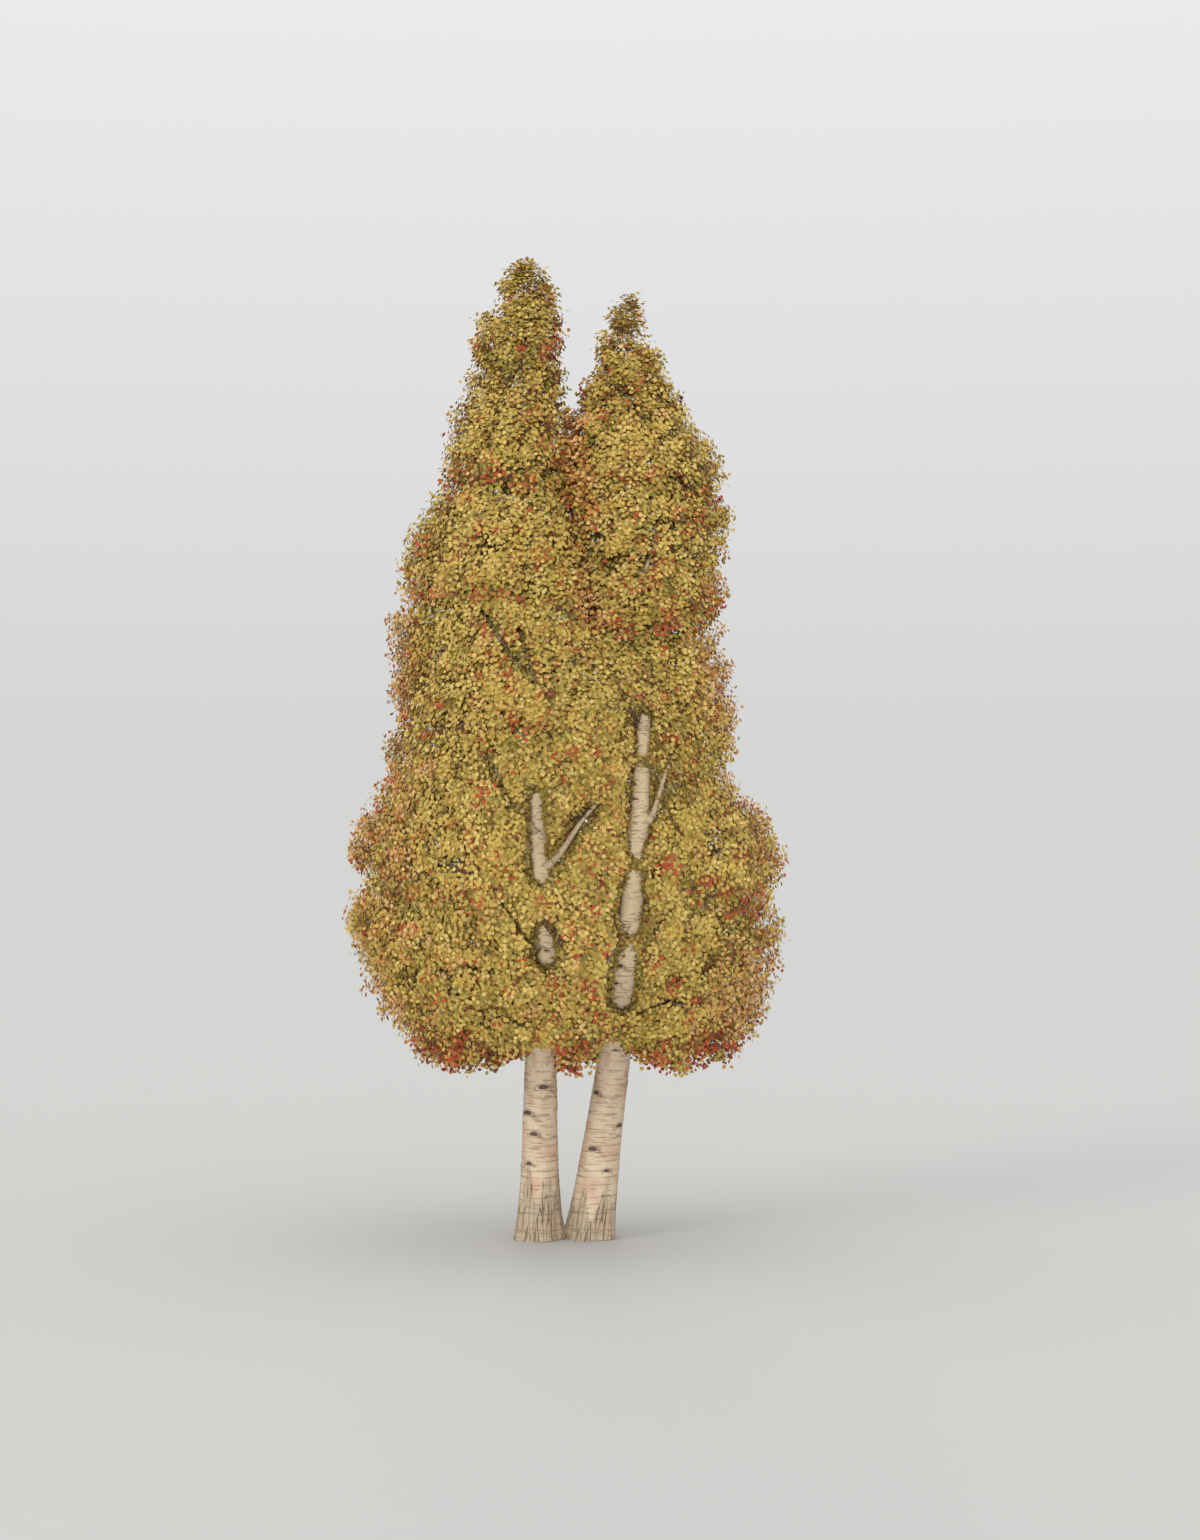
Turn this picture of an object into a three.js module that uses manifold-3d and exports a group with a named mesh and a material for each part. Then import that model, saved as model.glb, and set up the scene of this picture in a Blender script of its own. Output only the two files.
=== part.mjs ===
// Quaking aspen in autumn leaf: a clump of two stems from one root.
// Millimetres, +Z up. The origin is the middle of the flat cut under the taller stem,
// at ground level. The two stems stand side by side along +X, and -Y is the front.
//
// Every limb and every mass of foliage is worked out from the sizes below. A bough ends
// where it enters its mass. A mass is one stem that runs on from the bough's tip, twigs
// that fan out from it to points spread over the crown's outside, and leaves on the
// twigs, each standing for a spray.

import * as THREE from 'three';
import { mergeVertices } from 'three/addons/utils/BufferGeometryUtils.js';
import Module from 'manifold-3d';

const wasm = await Module();
wasm.setup();

// ---------------------------------------------------------------- driving sizes

const SEED = 1907;
const GAP = 0.3;                       // between a limb and the piece that it carries

// The stems: the height of the small flat tip, and how far the middle line stands off
// the vertical (x, y) at equal steps of that height. The radius is
// girth * (1 - z / TAPER_HEIGHT) ** taperPower, with the root flare and its buttresses.
// The top of the crown stands off the stem's tip by its lead along X.
const STEMS = {
  left: {
    height: 12000,
    x: [0, 14, 27, 93, 5, -60, -60, -410, -405, -330],
    y: [0, 0, -20, -40, 20, 60, 20, -30, -20, 0],
    girth: 310,
    taperPower: 1.8,
    flare: 62,
    buttressBearing: 0,
    lead: 130,
  },
  right: {
    height: 11500,
    x: [729, 888, 1073, 1243, 1362, 1465, 1498, 1440, 1345, 1250],
    y: [60, 90, 140, 190, 220, 200, 240, 260, 220, 200],
    girth: 330,
    taperPower: 1.7,
    flare: 42,
    buttressBearing: 180,
    lead: 0,
  },
};
const TAPER_HEIGHT = 14500;            // where both stems' taper would come to a point
const FLARE_HEIGHT = 350;              // the flare fades by e in this height
const BUTTRESSES = 5;
const BUTTRESS_SHARE = 0.7;            // of the flare, in and out
const STEM_SIDES = 12;
const STEM_RINGS = 14;
const RING_CROWDING = 1.6;             // crowds the stem's rings towards the foot

// The crown is two round bodies, one about each stem: [radius, height] up its side.
const CROWN = {
  left: [[1600, 2400], [2500, 3500], [3020, 4500], [2660, 5800], [2240, 6600], [2120, 7900],
    [1460, 10000], [1010, 11100], [840, 12100], [690, 12900], [440, 13450], [90, 13950]],
  right: [[1700, 2400], [2130, 3400], [2300, 5400], [1490, 6500], [1290, 7900],
    [1440, 10400], [1320, 11200], [630, 12200], [390, 12800], [220, 13150], [90, 13450]],
};
const SKIRT = { height: 2750, droop: 0.16 };   // the crown's underside, and its fall outwards

// The masses fan upwards and outwards: how steeply, low in the crown and high in it.
const SLOPE = { low: 0.15, high: 0.9, lowHeight: 3000, highHeight: 8000 };

// Tiers of boughs: the height of their feet, the rise from there to the middle of the
// masses, the bearings in degrees (0 is +X, 90 the back), how far out the middle is as
// a share of the crown's radius, and the half-height of a mass.
const TIERS = [
  { stem: 'left', foot: 2950, rise: 520, bearings: [108, 164, 220, 292], out: 0.58, half: 1300 },
  { stem: 'left', foot: 4050, rise: 1300, bearings: [100, 168, 234], out: 0.56, half: 1500 },
  { stem: 'left', foot: 5750, rise: 1650, bearings: [116, 184, 246], out: 0.55, half: 1600 },
  { stem: 'left', foot: 7900, rise: 1450, bearings: [84, 178, 268], out: 0.52, half: 1550 },
  { stem: 'left', foot: 9800, rise: 1250, bearings: [110, 240], out: 0.45, half: 1350 },
  { stem: 'right', foot: 2950, rise: 480, bearings: [-48, 6, 64], out: 0.58, half: 1300 },
  { stem: 'right', foot: 4000, rise: 1300, bearings: [-40, 22, 84], out: 0.56, half: 1500 },
  { stem: 'right', foot: 5850, rise: 1500, bearings: [-24, 92], out: 0.5, half: 1550 },
  { stem: 'right', foot: 7900, rise: 1400, bearings: [-66, 48], out: 0.5, half: 1550 },
  { stem: 'right', foot: 9500, rise: 1250, bearings: [-20, 150], out: 0.45, half: 1250 },
];
const FOOT_STEP = 160;                 // a tier's feet stand at two heights, this far apart
const TIER_SECTOR = 210;               // degrees round its stem that a tier's masses share
const RADIAL_SHARE = 0.68;             // of the crown's radius, a mass's half-size outwards
const ACROSS_SHARE = 1.5;              // of its own sector, a mass's half-size across

// The low bough of the taller stem that reaches across in front of the other stem.
const CROSSING = { stem: 'left', foot: 5250, rise: 1250, bearing: -36, out: 0.6, half: 1300 };
const CROSSING_SECTOR = 55;

const BOUGH_SIDES = 5;
const BOUGH_RINGS = 3;
const BOUGH_SHARE = 0.62;              // of the way from its foot to the mass's middle
const BOUGH_GIRTH = 0.42;              // foot radius against the stem's radius there
const BOUGH_TIP = 0.5;                 // tip radius against its foot radius
const LEAST_RADIUS = { foot: 36, tip: 24 };
const BOUGH_LIFT = 0.35;               // how steeply a bough leaves the stem

const MASS_GAP = 40;                   // bare space between one mass and the next
const LIMB_CLEARANCE = 70;             // from a leaf or twig to any limb's bark
const MASS_STEM = { taper: 0.75, past: 0.3, rings: 2 };   // past the middle, by its size
const FAN = { lift: 0.25, spread: 82 };   // a mass's twigs: upward tilt, degrees to the side
const TWIGS = { count: 9, fewer: 8, smallMass: 1000, girth: 0.5, taper: 0.7, reach: 0.9 };
const TWIG_FEET = { last: 0.92, first: 0.17 };   // along the mass's stem
const LEAF = { length: 1000, width: 820, thickness: 60 };
const LEAF_SCALE = { leader: 0.5, least: 0.4, fullMass: 1200, low: 0.85, high: 1.15, shrink: 0.05 };
const LEAVES = { perTwig: 2, perMass: 14, tries: 12, first: 0.97, step: 0.16 };
const LEAF_COST = 25;                  // triangles a leaf may add, or it runs into others
const TIP_LEAF_COST = 40;              // the same for the leaf at a mass's tip

// ---------------------------------------------------------------- small helpers

const GOLDEN_ANGLE = Math.PI * (3 - Math.sqrt(5));
const { lerp, clamp, degToRad } = THREE.MathUtils;
const up = new THREE.Vector3(0, 0, 1);
const vector = (x, y, z) => new THREE.Vector3(x, y, z);
const along = (from, direction, distance) => from.clone().addScaledVector(direction, distance);

// Any direction square to an axis.
function squareTo(axis) {
  return axis.clone().cross(Math.abs(axis.z) < 0.9 ? up : vector(1, 0, 0)).normalize();
}

// Seeded random numbers from 0 to 1.
function seededRandom(seed) {
  let state = seed >>> 0;
  return () => {
    state = (state + 0x6d2b79f5) >>> 0;
    let t = Math.imul(state ^ (state >>> 15), 1 | state);
    t = (t + Math.imul(t ^ (t >>> 7), 61 | t)) ^ t;
    return ((t ^ (t >>> 14)) >>> 0) / 2 ** 32;
  };
}

// A closed solid from a three.js geometry, its shared vertices merged.
function solid(geometry) {
  const bare = geometry.clone();
  bare.deleteAttribute('normal');
  bare.deleteAttribute('uv');
  const merged = mergeVertices(bare, 1e-3);
  const triangles = [];
  for (let i = 0; i < merged.index.count; i += 3) {
    const [a, b, c] = [0, 1, 2].map((k) => merged.index.getX(i + k));
    if (a !== b && b !== c && c !== a) triangles.push(a, b, c);
  }
  return new wasm.Manifold(new wasm.Mesh({
    numProp: 3,
    vertProperties: Float32Array.from(merged.attributes.position.array),
    triVerts: Uint32Array.from(triangles),
  }));
}

// The one outer body of a solid: loose scraps are dropped and sealed hollows filled.
function mainBody(body) {
  return body.decompose().sort((a, b) => b.volume() - a.volume())[0];
}

function geometryOf(body) {
  const { vertProperties, triVerts } = body.getMesh();
  const geometry = new THREE.BufferGeometry();
  geometry.setAttribute('position', new THREE.BufferAttribute(vertProperties, 3));
  geometry.setIndex(new THREE.BufferAttribute(triVerts, 1));
  geometry.computeVertexNormals();
  return geometry;
}

// ---------------------------------------------------------------- stems

// The middle of a stem at a height.
function stemMiddle(stem, height) {
  const last = stem.x.length - 1;
  const knots = stem.x.map((x, i) => vector(x, stem.y[i], stem.height * i / last));
  const line = new THREE.CatmullRomCurve3(knots, false, 'catmullrom', 0.5);
  return line.getPoint(clamp(height / stem.height, 0, 1));
}

function stemRadius(stem, height) {
  const taper = stem.girth * (1 - height / TAPER_HEIGHT) ** stem.taperPower;
  return Math.max(taper, LEAST_RADIUS.tip) + stem.flare * Math.exp(-height / FLARE_HEIGHT);
}

// How far a buttress swells the flare at a bearing, or a hollow draws it in.
function buttress(stem, height, bearing) {
  const wave = Math.cos(BUTTRESSES * (bearing - degToRad(stem.buttressBearing)));
  return BUTTRESS_SHARE * stem.flare * Math.exp(-height / FLARE_HEIGHT) * wave;
}

// A stem: a lathed outline whose level rings are set on the stem's middle line. A skin
// makes the slightly fatter body that its neighbours are cut clear with.
function stemSolid(stem, skin = 0) {
  const outline = [new THREE.Vector2(0, 0)];
  for (let i = 0; i <= STEM_RINGS; i++) {
    const height = stem.height * (i / STEM_RINGS) ** RING_CROWDING;
    outline.push(new THREE.Vector2(stemRadius(stem, height) + skin, height));
  }
  outline.push(new THREE.Vector2(0, stem.height));
  const geometry = new THREE.LatheGeometry(outline, STEM_SIDES).rotateX(Math.PI / 2);
  const position = geometry.attributes.position;
  for (let i = 0; i < position.count; i++) {
    const point = new THREE.Vector3().fromBufferAttribute(position, i);
    const radius = Math.hypot(point.x, point.y);
    const bearing = Math.atan2(point.y, point.x);
    const swollen = radius > 1 ? radius + buttress(stem, point.z, bearing) : 0;
    const middle = stemMiddle(stem, point.z);
    position.setX(i, middle.x + swollen * Math.cos(bearing));
    position.setY(i, middle.y + swollen * Math.sin(bearing));
  }
  return solid(geometry);
}

// ---------------------------------------------------------------- limbs

// A tapering limb with a flat face at each end: a lathed outline bent along a curve.
function limbSolid(curve, footRadius, tipRadius, sides, rings) {
  const outline = [new THREE.Vector2(0, 0)];
  for (let i = 0; i <= rings; i++) {
    outline.push(new THREE.Vector2(lerp(footRadius, tipRadius, i / rings), i));
  }
  outline.push(new THREE.Vector2(0, rings));
  const geometry = new THREE.LatheGeometry(outline, sides);
  const { normals, binormals } = curve.computeFrenetFrames(rings, false);
  const position = geometry.attributes.position;
  for (let i = 0; i < position.count; i++) {
    const ring = Math.round(position.getY(i));
    const point = curve.getPointAt(ring / rings)
      .addScaledVector(normals[ring], position.getX(i))
      .addScaledVector(binormals[ring], -position.getZ(i));
    position.setXYZ(i, point.x, point.y, point.z);
  }
  return solid(geometry);
}

// A limb's curve: it leaves one way and arrives another.
function limbCurve(start, leaving, end, arriving) {
  const handle = start.distanceTo(end) / 3;
  return new THREE.CubicBezierCurve3(start, along(start, leaving, handle), along(end, arriving, -handle), end);
}

// ---------------------------------------------------------------- where the masses are

// The crown's radius about a stem at a height: straight between the rows of its table.
function crownRadius(stemName, height) {
  const rows = CROWN[stemName];
  const i = Math.max(1, rows.findIndex(([, top]) => height <= top));
  const [[before, bottom], [after, top]] = [rows[i - 1], rows[i]];
  return lerp(before, after, clamp((height - bottom) / (top - bottom), 0, 1));
}

// The middle of a crown at a height: the stem, and above its tip a line that leans by its lead.
function crownMiddle(stemName, height) {
  const stem = STEMS[stemName];
  const top = CROWN[stemName].at(-1)[1];
  const share = clamp((height - stem.height) / (top - stem.height), 0, 1);
  const middle = stemMiddle(stem, height);
  return middle.setX(middle.x + stem.lead * share);
}

// A bough and its mass: the mass's middle, half-sizes and the directions they run in.
function plannedMass(name, tier, foot, bearing, sector) {
  const stem = STEMS[tier.stem];
  const height = foot + tier.rise;
  const outward = vector(Math.cos(degToRad(bearing)), Math.sin(degToRad(bearing)), 0);
  const radius = crownRadius(tier.stem, height);
  const middle = along(stemMiddle(stem, height), outward, tier.out * radius);
  const footPoint = stemMiddle(stem, foot);
  const footRadius = Math.max(stemRadius(stem, foot) * BOUGH_GIRTH, LEAST_RADIUS.foot);
  const heading = middle.clone().sub(footPoint).normalize();
  const tip = footPoint.clone().lerp(middle, BOUGH_SHARE);
  const sizes = [RADIAL_SHARE * radius, ACROSS_SHARE * Math.sin(degToRad(sector / 2)) * radius, tier.half];
  const least = Math.min(...sizes);
  return {
    name,
    stem,
    middle,
    sizes,
    axes: [outward, vector(-outward.y, outward.x, 0), up],
    bough: limbCurve(footPoint, outward.clone().setZ(BOUGH_LIFT).normalize(), tip, heading),
    footRadius,
    tip,
    tipRadius: Math.max(footRadius * BOUGH_TIP, LEAST_RADIUS.tip),
    heading,
    stemEnd: along(middle, heading, MASS_STEM.past * sizes[0]),
    fan: outward.clone().setZ(FAN.lift).normalize(),
    twigCount: least < TWIGS.smallMass ? TWIGS.fewer : TWIGS.count,
    leafScale: Math.min(1, lerp(LEAF_SCALE.least, 1, least / LEAF_SCALE.fullMass)),
  };
}

// A stem's leader: the mass that carries on from the stem's tip to the crown's top.
function plannedLeader(stemName) {
  const stem = STEMS[stemName];
  const top = CROWN[stemName].at(-1)[1];
  const tip = stemMiddle(stem, stem.height);
  const radius = crownRadius(stemName, stem.height);
  return {
    name: `${stemName}_leader`,
    stem,
    middle: crownMiddle(stemName, (stem.height + top) / 2).setZ((stem.height + top) / 2),
    sizes: [radius, radius, (top - stem.height) * 0.6],
    axes: [vector(1, 0, 0), vector(0, 1, 0), up],
    tip,
    tipRadius: LEAST_RADIUS.tip,
    heading: up,
    stemEnd: crownMiddle(stemName, top).setZ(top - LEAF.length * LEAF_SCALE.leader),
    fan: up,
    twigCount: TWIGS.fewer,
    leafScale: LEAF_SCALE.leader,
  };
}

function planBoughMasses() {
  const planned = [];
  const counts = { left: 0, right: 0 };
  const plan = (tier, foot, bearing, sector) => {
    counts[tier.stem] += 1;
    const name = `${tier.stem}_${String(counts[tier.stem]).padStart(2, '0')}`;
    planned.push(plannedMass(name, tier, foot, bearing, sector));
  };
  for (const tier of TIERS) {
    const sector = TIER_SECTOR / tier.bearings.length;
    tier.bearings.forEach((bearing, i) => plan(tier, tier.foot + FOOT_STEP * (i % 2), bearing, sector));
  }
  plan(CROSSING, CROSSING.foot, CROSSING.bearing, CROSSING_SECTOR);
  return planned;
}

const boughMasses = planBoughMasses();
const masses = [...boughMasses, plannedLeader('left'), plannedLeader('right')];

// ---------------------------------------------------------------- what a mass may fill

// Stems and boughs as chains of points with radii, for keeping leaves and twigs off them.
function limbChain(pointAt, radiusAt, steps) {
  return Array.from({ length: steps + 1 }, (_, i) => (
    { point: pointAt(i / steps), radius: radiusAt(i / steps) }));
}

const limbChains = [
  ...Object.values(STEMS).map((stem) => limbChain(
    (t) => stemMiddle(stem, t * stem.height), (t) => stemRadius(stem, t * stem.height), 30)),
  ...boughMasses.map((mass) => limbChain(
    (t) => mass.bough.getPoint(t), (t) => lerp(mass.footRadius, mass.tipRadius, t), 6)),
];

function clearOfLimbs(point) {
  const nearest = new THREE.Vector3();
  return limbChains.every((chain) => chain.slice(1).every((end, i) => {
    const start = chain[i];
    const line = new THREE.Line3(start.point, end.point);
    const t = line.closestPointToPointParameter(point, true);
    const radius = lerp(start.radius, end.radius, t);
    return line.at(t, nearest).distanceTo(point) > radius + LIMB_CLEARANCE;
  }));
}

// Whether a point is inside the crown's outline.
function inCrown(point) {
  return Object.entries(STEMS).some(([name, stem]) => {
    const middle = crownMiddle(name, point.z);
    const off = Math.hypot(point.x - middle.x, point.y - middle.y);
    return off < crownRadius(name, point.z) && point.z < CROWN[name].at(-1)[1]
      && point.z > SKIRT.height - SKIRT.droop * off;
  });
}

// A point lowered by how far out it lies, so that what is level here rises outwards.
function lowered(point) {
  const out = Object.keys(STEMS).map((name) => {
    const middle = crownMiddle(name, point.z);
    return Math.hypot(point.x - middle.x, point.y - middle.y);
  });
  const share = clamp((point.z - SLOPE.lowHeight) / (SLOPE.highHeight - SLOPE.lowHeight), 0, 1);
  return point.clone().setZ(point.z - lerp(SLOPE.low, SLOPE.high, share) * Math.min(...out));
}

for (const mass of masses) mass.heart = lowered(mass.middle);

// Whether a point is in a mass's own space: inside its rounded bounds and the crown, and
// nearer to its heart than to any other mass's, where both are lowered.
function inSpace(mass, point) {
  const off = lowered(point).sub(mass.heart);
  const reach = mass.sizes.reduce((sum, size, i) => sum + (off.dot(mass.axes[i]) / size) ** 2, 0);
  return reach < 1 && inCrown(point) && masses.every((other) => {
    if (other === mass) return true;
    const between = other.heart.clone().sub(mass.heart);
    const distance = between.length();
    return off.dot(between) / distance < (distance - MASS_GAP) / 2;
  });
}

const isFree = (mass, point) => inSpace(mass, point) && clearOfLimbs(point);

// ---------------------------------------------------------------- leaves

const leafShape = new THREE.OctahedronGeometry(1, 0);

// Points over half a leaf's length and width, to test where its blade lies.
const BLADE_POINTS = [-0.6, -0.3, 0, 0.3, 0.6, 1].flatMap((length) => (
  [-1, -0.5, 0, 0.5, 1].map((width) => vector(length, width * (1 - Math.abs(length)), 0))));

// Where a leaf lies: its length along one direction, its blade turned to face another.
function leafPlace(root, pointing, facing, scale) {
  const half = [LEAF.length, LEAF.width, LEAF.thickness].map((size) => scale * size / 2);
  const across = pointing.clone().cross(facing).normalize();
  const normal = pointing.clone().cross(across);
  return new THREE.Matrix4()
    .makeBasis(pointing.clone().multiplyScalar(half[0]), across.multiplyScalar(half[1]),
      normal.multiplyScalar(half[2]))
    .setPosition(along(root, pointing, half[0]));
}

// A body with one leaf more, or nothing where the leaf would leave the mass's space,
// touch a limb or run into other leaves.
function withLeaf(mass, body, root, pointing, facing, scale, cost = LEAF_COST) {
  const place = leafPlace(root, pointing, facing, scale);
  if (!BLADE_POINTS.every((point) => isFree(mass, point.clone().applyMatrix4(place)))) return null;
  const grown = body.add(solid(leafShape.clone().applyMatrix4(place)));
  return grown.numTri() - body.numTri() > cost ? null : grown;
}

// ---------------------------------------------------------------- masses

// Directions spread evenly over the cap that a mass's twigs fan out in.
function fanDirection(mass, i, turn) {
  const rise = 1 - (1 - Math.cos(degToRad(FAN.spread))) * (i + 0.5) / mass.twigCount;
  const side = squareTo(mass.fan).applyAxisAngle(mass.fan, i * GOLDEN_ANGLE + turn);
  return mass.fan.clone().multiplyScalar(rise).addScaledVector(side, Math.sqrt(1 - rise * rise));
}

// A point most of the way from the mass's foot to the edge of its space.
function twigTarget(mass, direction) {
  for (let distance = 2.4 * Math.max(...mass.sizes); distance > 250; distance -= 50) {
    if (inSpace(mass, along(mass.tip, direction, distance))) {
      return along(mass.tip, direction, distance * TWIGS.reach);
    }
  }
  return null;
}

// The way that the crown's outside faces at a point of a mass.
function outwardAt(mass, point) {
  const fromStem = point.clone().sub(stemMiddle(mass.stem, point.z)).setZ(0).normalize();
  const fromFoot = point.clone().sub(mass.tip).normalize();
  return fromStem.multiplyScalar(0.8).add(fromFoot).normalize();
}

// A twig's leaves, set round it like shingles that face outwards.
function withTwigLeaves(mass, body, twig, room, random) {
  const towards = twig.getTangent(0);
  const facing = outwardAt(mass, twig.v2);
  const side = squareTo(facing);
  const spin = random() * Math.PI * 2;
  let leafy = body;
  let added = 0;
  for (let i = 0; i < Math.min(LEAVES.perTwig, room); i++) {
    for (let attempt = 0; attempt < LEAVES.tries; attempt++) {
      const angle = spin + (i / LEAVES.perTwig + attempt / 10) * Math.PI * 2;
      const pointing = side.clone().applyAxisAngle(facing, angle)
        .addScaledVector(towards, lerp(0.1, 0.45, random())).normalize();
      const scale = mass.leafScale * lerp(LEAF_SCALE.low, LEAF_SCALE.high, random())
        * (1 - LEAF_SCALE.shrink * attempt);
      const root = twig.getPoint(LEAVES.first - LEAVES.step * i);
      const grown = withLeaf(mass, leafy, root, pointing, facing, scale);
      if (grown) {
        leafy = grown;
        added += 1;
        break;
      }
    }
  }
  return { leafy, added };
}

// One mass: its stem and tip leaf, then twig after twig with its leaves.
function massSolid(mass, seed) {
  const random = seededRandom(seed);
  const stemCurve = limbCurve(along(mass.tip, mass.heading, GAP), mass.heading, mass.stemEnd, mass.heading);
  const twigRadius = mass.tipRadius * TWIGS.girth;
  let body = limbSolid(stemCurve, mass.tipRadius, mass.tipRadius * MASS_STEM.taper, BOUGH_SIDES, MASS_STEM.rings);
  const tipLeaf = withLeaf(mass, body, stemCurve.getPoint(LEAVES.first), mass.heading,
    squareTo(mass.heading), mass.leafScale, TIP_LEAF_COST);
  body = tipLeaf ?? body;
  let leaves = tipLeaf ? 1 : 0;
  const turn = random() * Math.PI * 2;
  for (let i = 0; i < mass.twigCount; i++) {
    const target = twigTarget(mass, fanDirection(mass, i, turn));
    const foot = stemCurve.getPoint(lerp(TWIG_FEET.last, TWIG_FEET.first, i / mass.twigCount));
    if (!target) continue;
    const twig = new THREE.LineCurve3(foot, target);
    if (!twig.getPoints(6).slice(1).every((point) => isFree(mass, point))) continue;
    body = body.add(limbSolid(twig, twigRadius, twigRadius * TWIGS.taper, 3, 1));
    const { leafy, added } = withTwigLeaves(mass, body, twig, LEAVES.perMass - leaves, random);
    body = leafy;
    leaves += added;
  }
  return mainBody(body);
}

// ---------------------------------------------------------------- the tree

const barkPale = { color: 0xd9c7ab, roughness: 0.82, metalness: 0 };
const barkGrey = { color: 0xb7a68a, roughness: 0.86, metalness: 0 };
const autumnLeaf = { color: 0xb08a3a, roughness: 0.7, metalness: 0 };

const tree = new THREE.Group();

function addPiece(name, body, look) {
  const mesh = new THREE.Mesh(geometryOf(body), new THREE.MeshStandardMaterial(look));
  mesh.name = name;
  tree.add(mesh);
}

const leftCutter = stemSolid(STEMS.left, GAP);
const rightCutter = stemSolid(STEMS.right, GAP);
addPiece('stem_left', stemSolid(STEMS.left), barkPale);
addPiece('stem_right', mainBody(stemSolid(STEMS.right).subtract(leftCutter)), barkPale);

for (const mass of boughMasses) {
  const limb = limbSolid(mass.bough, mass.footRadius, mass.tipRadius, BOUGH_SIDES, BOUGH_RINGS);
  addPiece(`bough_${mass.name}`, mainBody(limb.subtract(leftCutter).subtract(rightCutter)), barkGrey);
}
masses.forEach((mass, i) => addPiece(`foliage_${mass.name}`, massSolid(mass, SEED + i), autumnLeaf));

export default tree;
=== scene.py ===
# %% [markdown]
# # A quaking aspen in autumn leaf
# An aspen clump is one root that sends up several pale stems. This one has two, side by
# side, under one crown of small round leaves that have turned gold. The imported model
# already holds the tree's construction: two stems, their boughs, and one plain solid for
# each mass of foliage. It is loaded first and never moved, so that every piece made here
# can be set exactly where the construction says. The box round it is kept, because the
# finished tree may not outgrow it.

import math

import bmesh
import bpy
import numpy as np
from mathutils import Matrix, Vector


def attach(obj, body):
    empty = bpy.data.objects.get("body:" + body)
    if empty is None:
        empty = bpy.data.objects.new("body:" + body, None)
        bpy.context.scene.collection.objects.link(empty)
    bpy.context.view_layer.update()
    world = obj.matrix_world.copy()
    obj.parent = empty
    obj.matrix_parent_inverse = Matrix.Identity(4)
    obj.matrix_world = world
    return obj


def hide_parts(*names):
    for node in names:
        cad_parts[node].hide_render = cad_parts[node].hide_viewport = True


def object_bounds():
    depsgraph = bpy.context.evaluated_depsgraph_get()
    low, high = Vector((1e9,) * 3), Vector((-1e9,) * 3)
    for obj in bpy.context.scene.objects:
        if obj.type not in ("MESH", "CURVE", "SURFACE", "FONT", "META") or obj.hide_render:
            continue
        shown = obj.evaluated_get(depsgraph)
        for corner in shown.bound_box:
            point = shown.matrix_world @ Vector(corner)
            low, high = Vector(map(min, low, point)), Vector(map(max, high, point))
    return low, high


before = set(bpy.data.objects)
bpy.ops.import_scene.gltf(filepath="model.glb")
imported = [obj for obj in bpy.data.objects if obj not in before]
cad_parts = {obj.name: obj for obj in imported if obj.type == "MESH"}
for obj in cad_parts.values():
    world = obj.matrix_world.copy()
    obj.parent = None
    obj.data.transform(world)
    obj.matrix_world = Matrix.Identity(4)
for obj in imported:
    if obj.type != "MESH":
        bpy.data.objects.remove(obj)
cad_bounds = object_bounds()
print("packed nodes:", len(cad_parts))
print("box in metres:", [[round(v, 2) for v in corner] for corner in cad_bounds])

# %% [markdown]
# ## The sizes that drive the tree
# A tree could be drawn limb by limb, but then nothing could be changed afterwards. Here
# it is grown from a few tables instead: how far each stem stands off the vertical, how
# wide the crown is at each height, and at which heights the tiers of boughs leave. They
# are the same numbers as in the construction, in metres, with +Z up and -Y in front.

# %% Stems, crown and tiers
SEED = 1907
GAP = 0.0003                           # between a bough's tip and its mass's stem

STEMS = {
    "left": {
        "height": 12.0,
        "x": [0, .014, .027, .093, .005, -.06, -.06, -.41, -.405, -.33],
        "y": [0, 0, -.02, -.04, .02, .06, .02, -.03, -.02, 0],
        "girth": 0.31, "taper": 1.8, "flare": 0.062, "buttress_turn": 0.0, "lead": 0.13,
    },
    "right": {
        "height": 11.5,
        "x": [.729, .888, 1.073, 1.243, 1.362, 1.465, 1.498, 1.44, 1.345, 1.25],
        "y": [.06, .09, .14, .19, .22, .2, .24, .26, .22, .2],
        "girth": 0.33, "taper": 1.7, "flare": 0.042, "buttress_turn": math.pi, "lead": 0.0,
    },
}
TAPER_HEIGHT = 14.5                    # where both tapers would come to a point
FLARE_HEIGHT = 0.35
BUTTRESSES = 5
BUTTRESS_SHARE = 0.7

# Each crown's radius and height, from its underside to its top.
CROWN = {
    "left": [(1.6, 2.4), (2.5, 3.5), (3.02, 4.5), (2.66, 5.8), (2.24, 6.6), (2.12, 7.9),
             (1.46, 10.0), (1.01, 11.1), (.84, 12.1), (.69, 12.9), (.44, 13.45), (.09, 13.95)],
    "right": [(1.7, 2.4), (2.13, 3.4), (2.3, 5.4), (1.49, 6.5), (1.29, 7.9), (1.44, 10.4),
              (1.32, 11.2), (.63, 12.2), (.39, 12.8), (.22, 13.15), (.09, 13.45)],
}
SKIRT = {"height": 2.75, "droop": 0.16}
SLOPE = {"heights": (3.0, 8.0), "slopes": (0.15, 0.9)}   # how steeply the masses fan outwards

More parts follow.
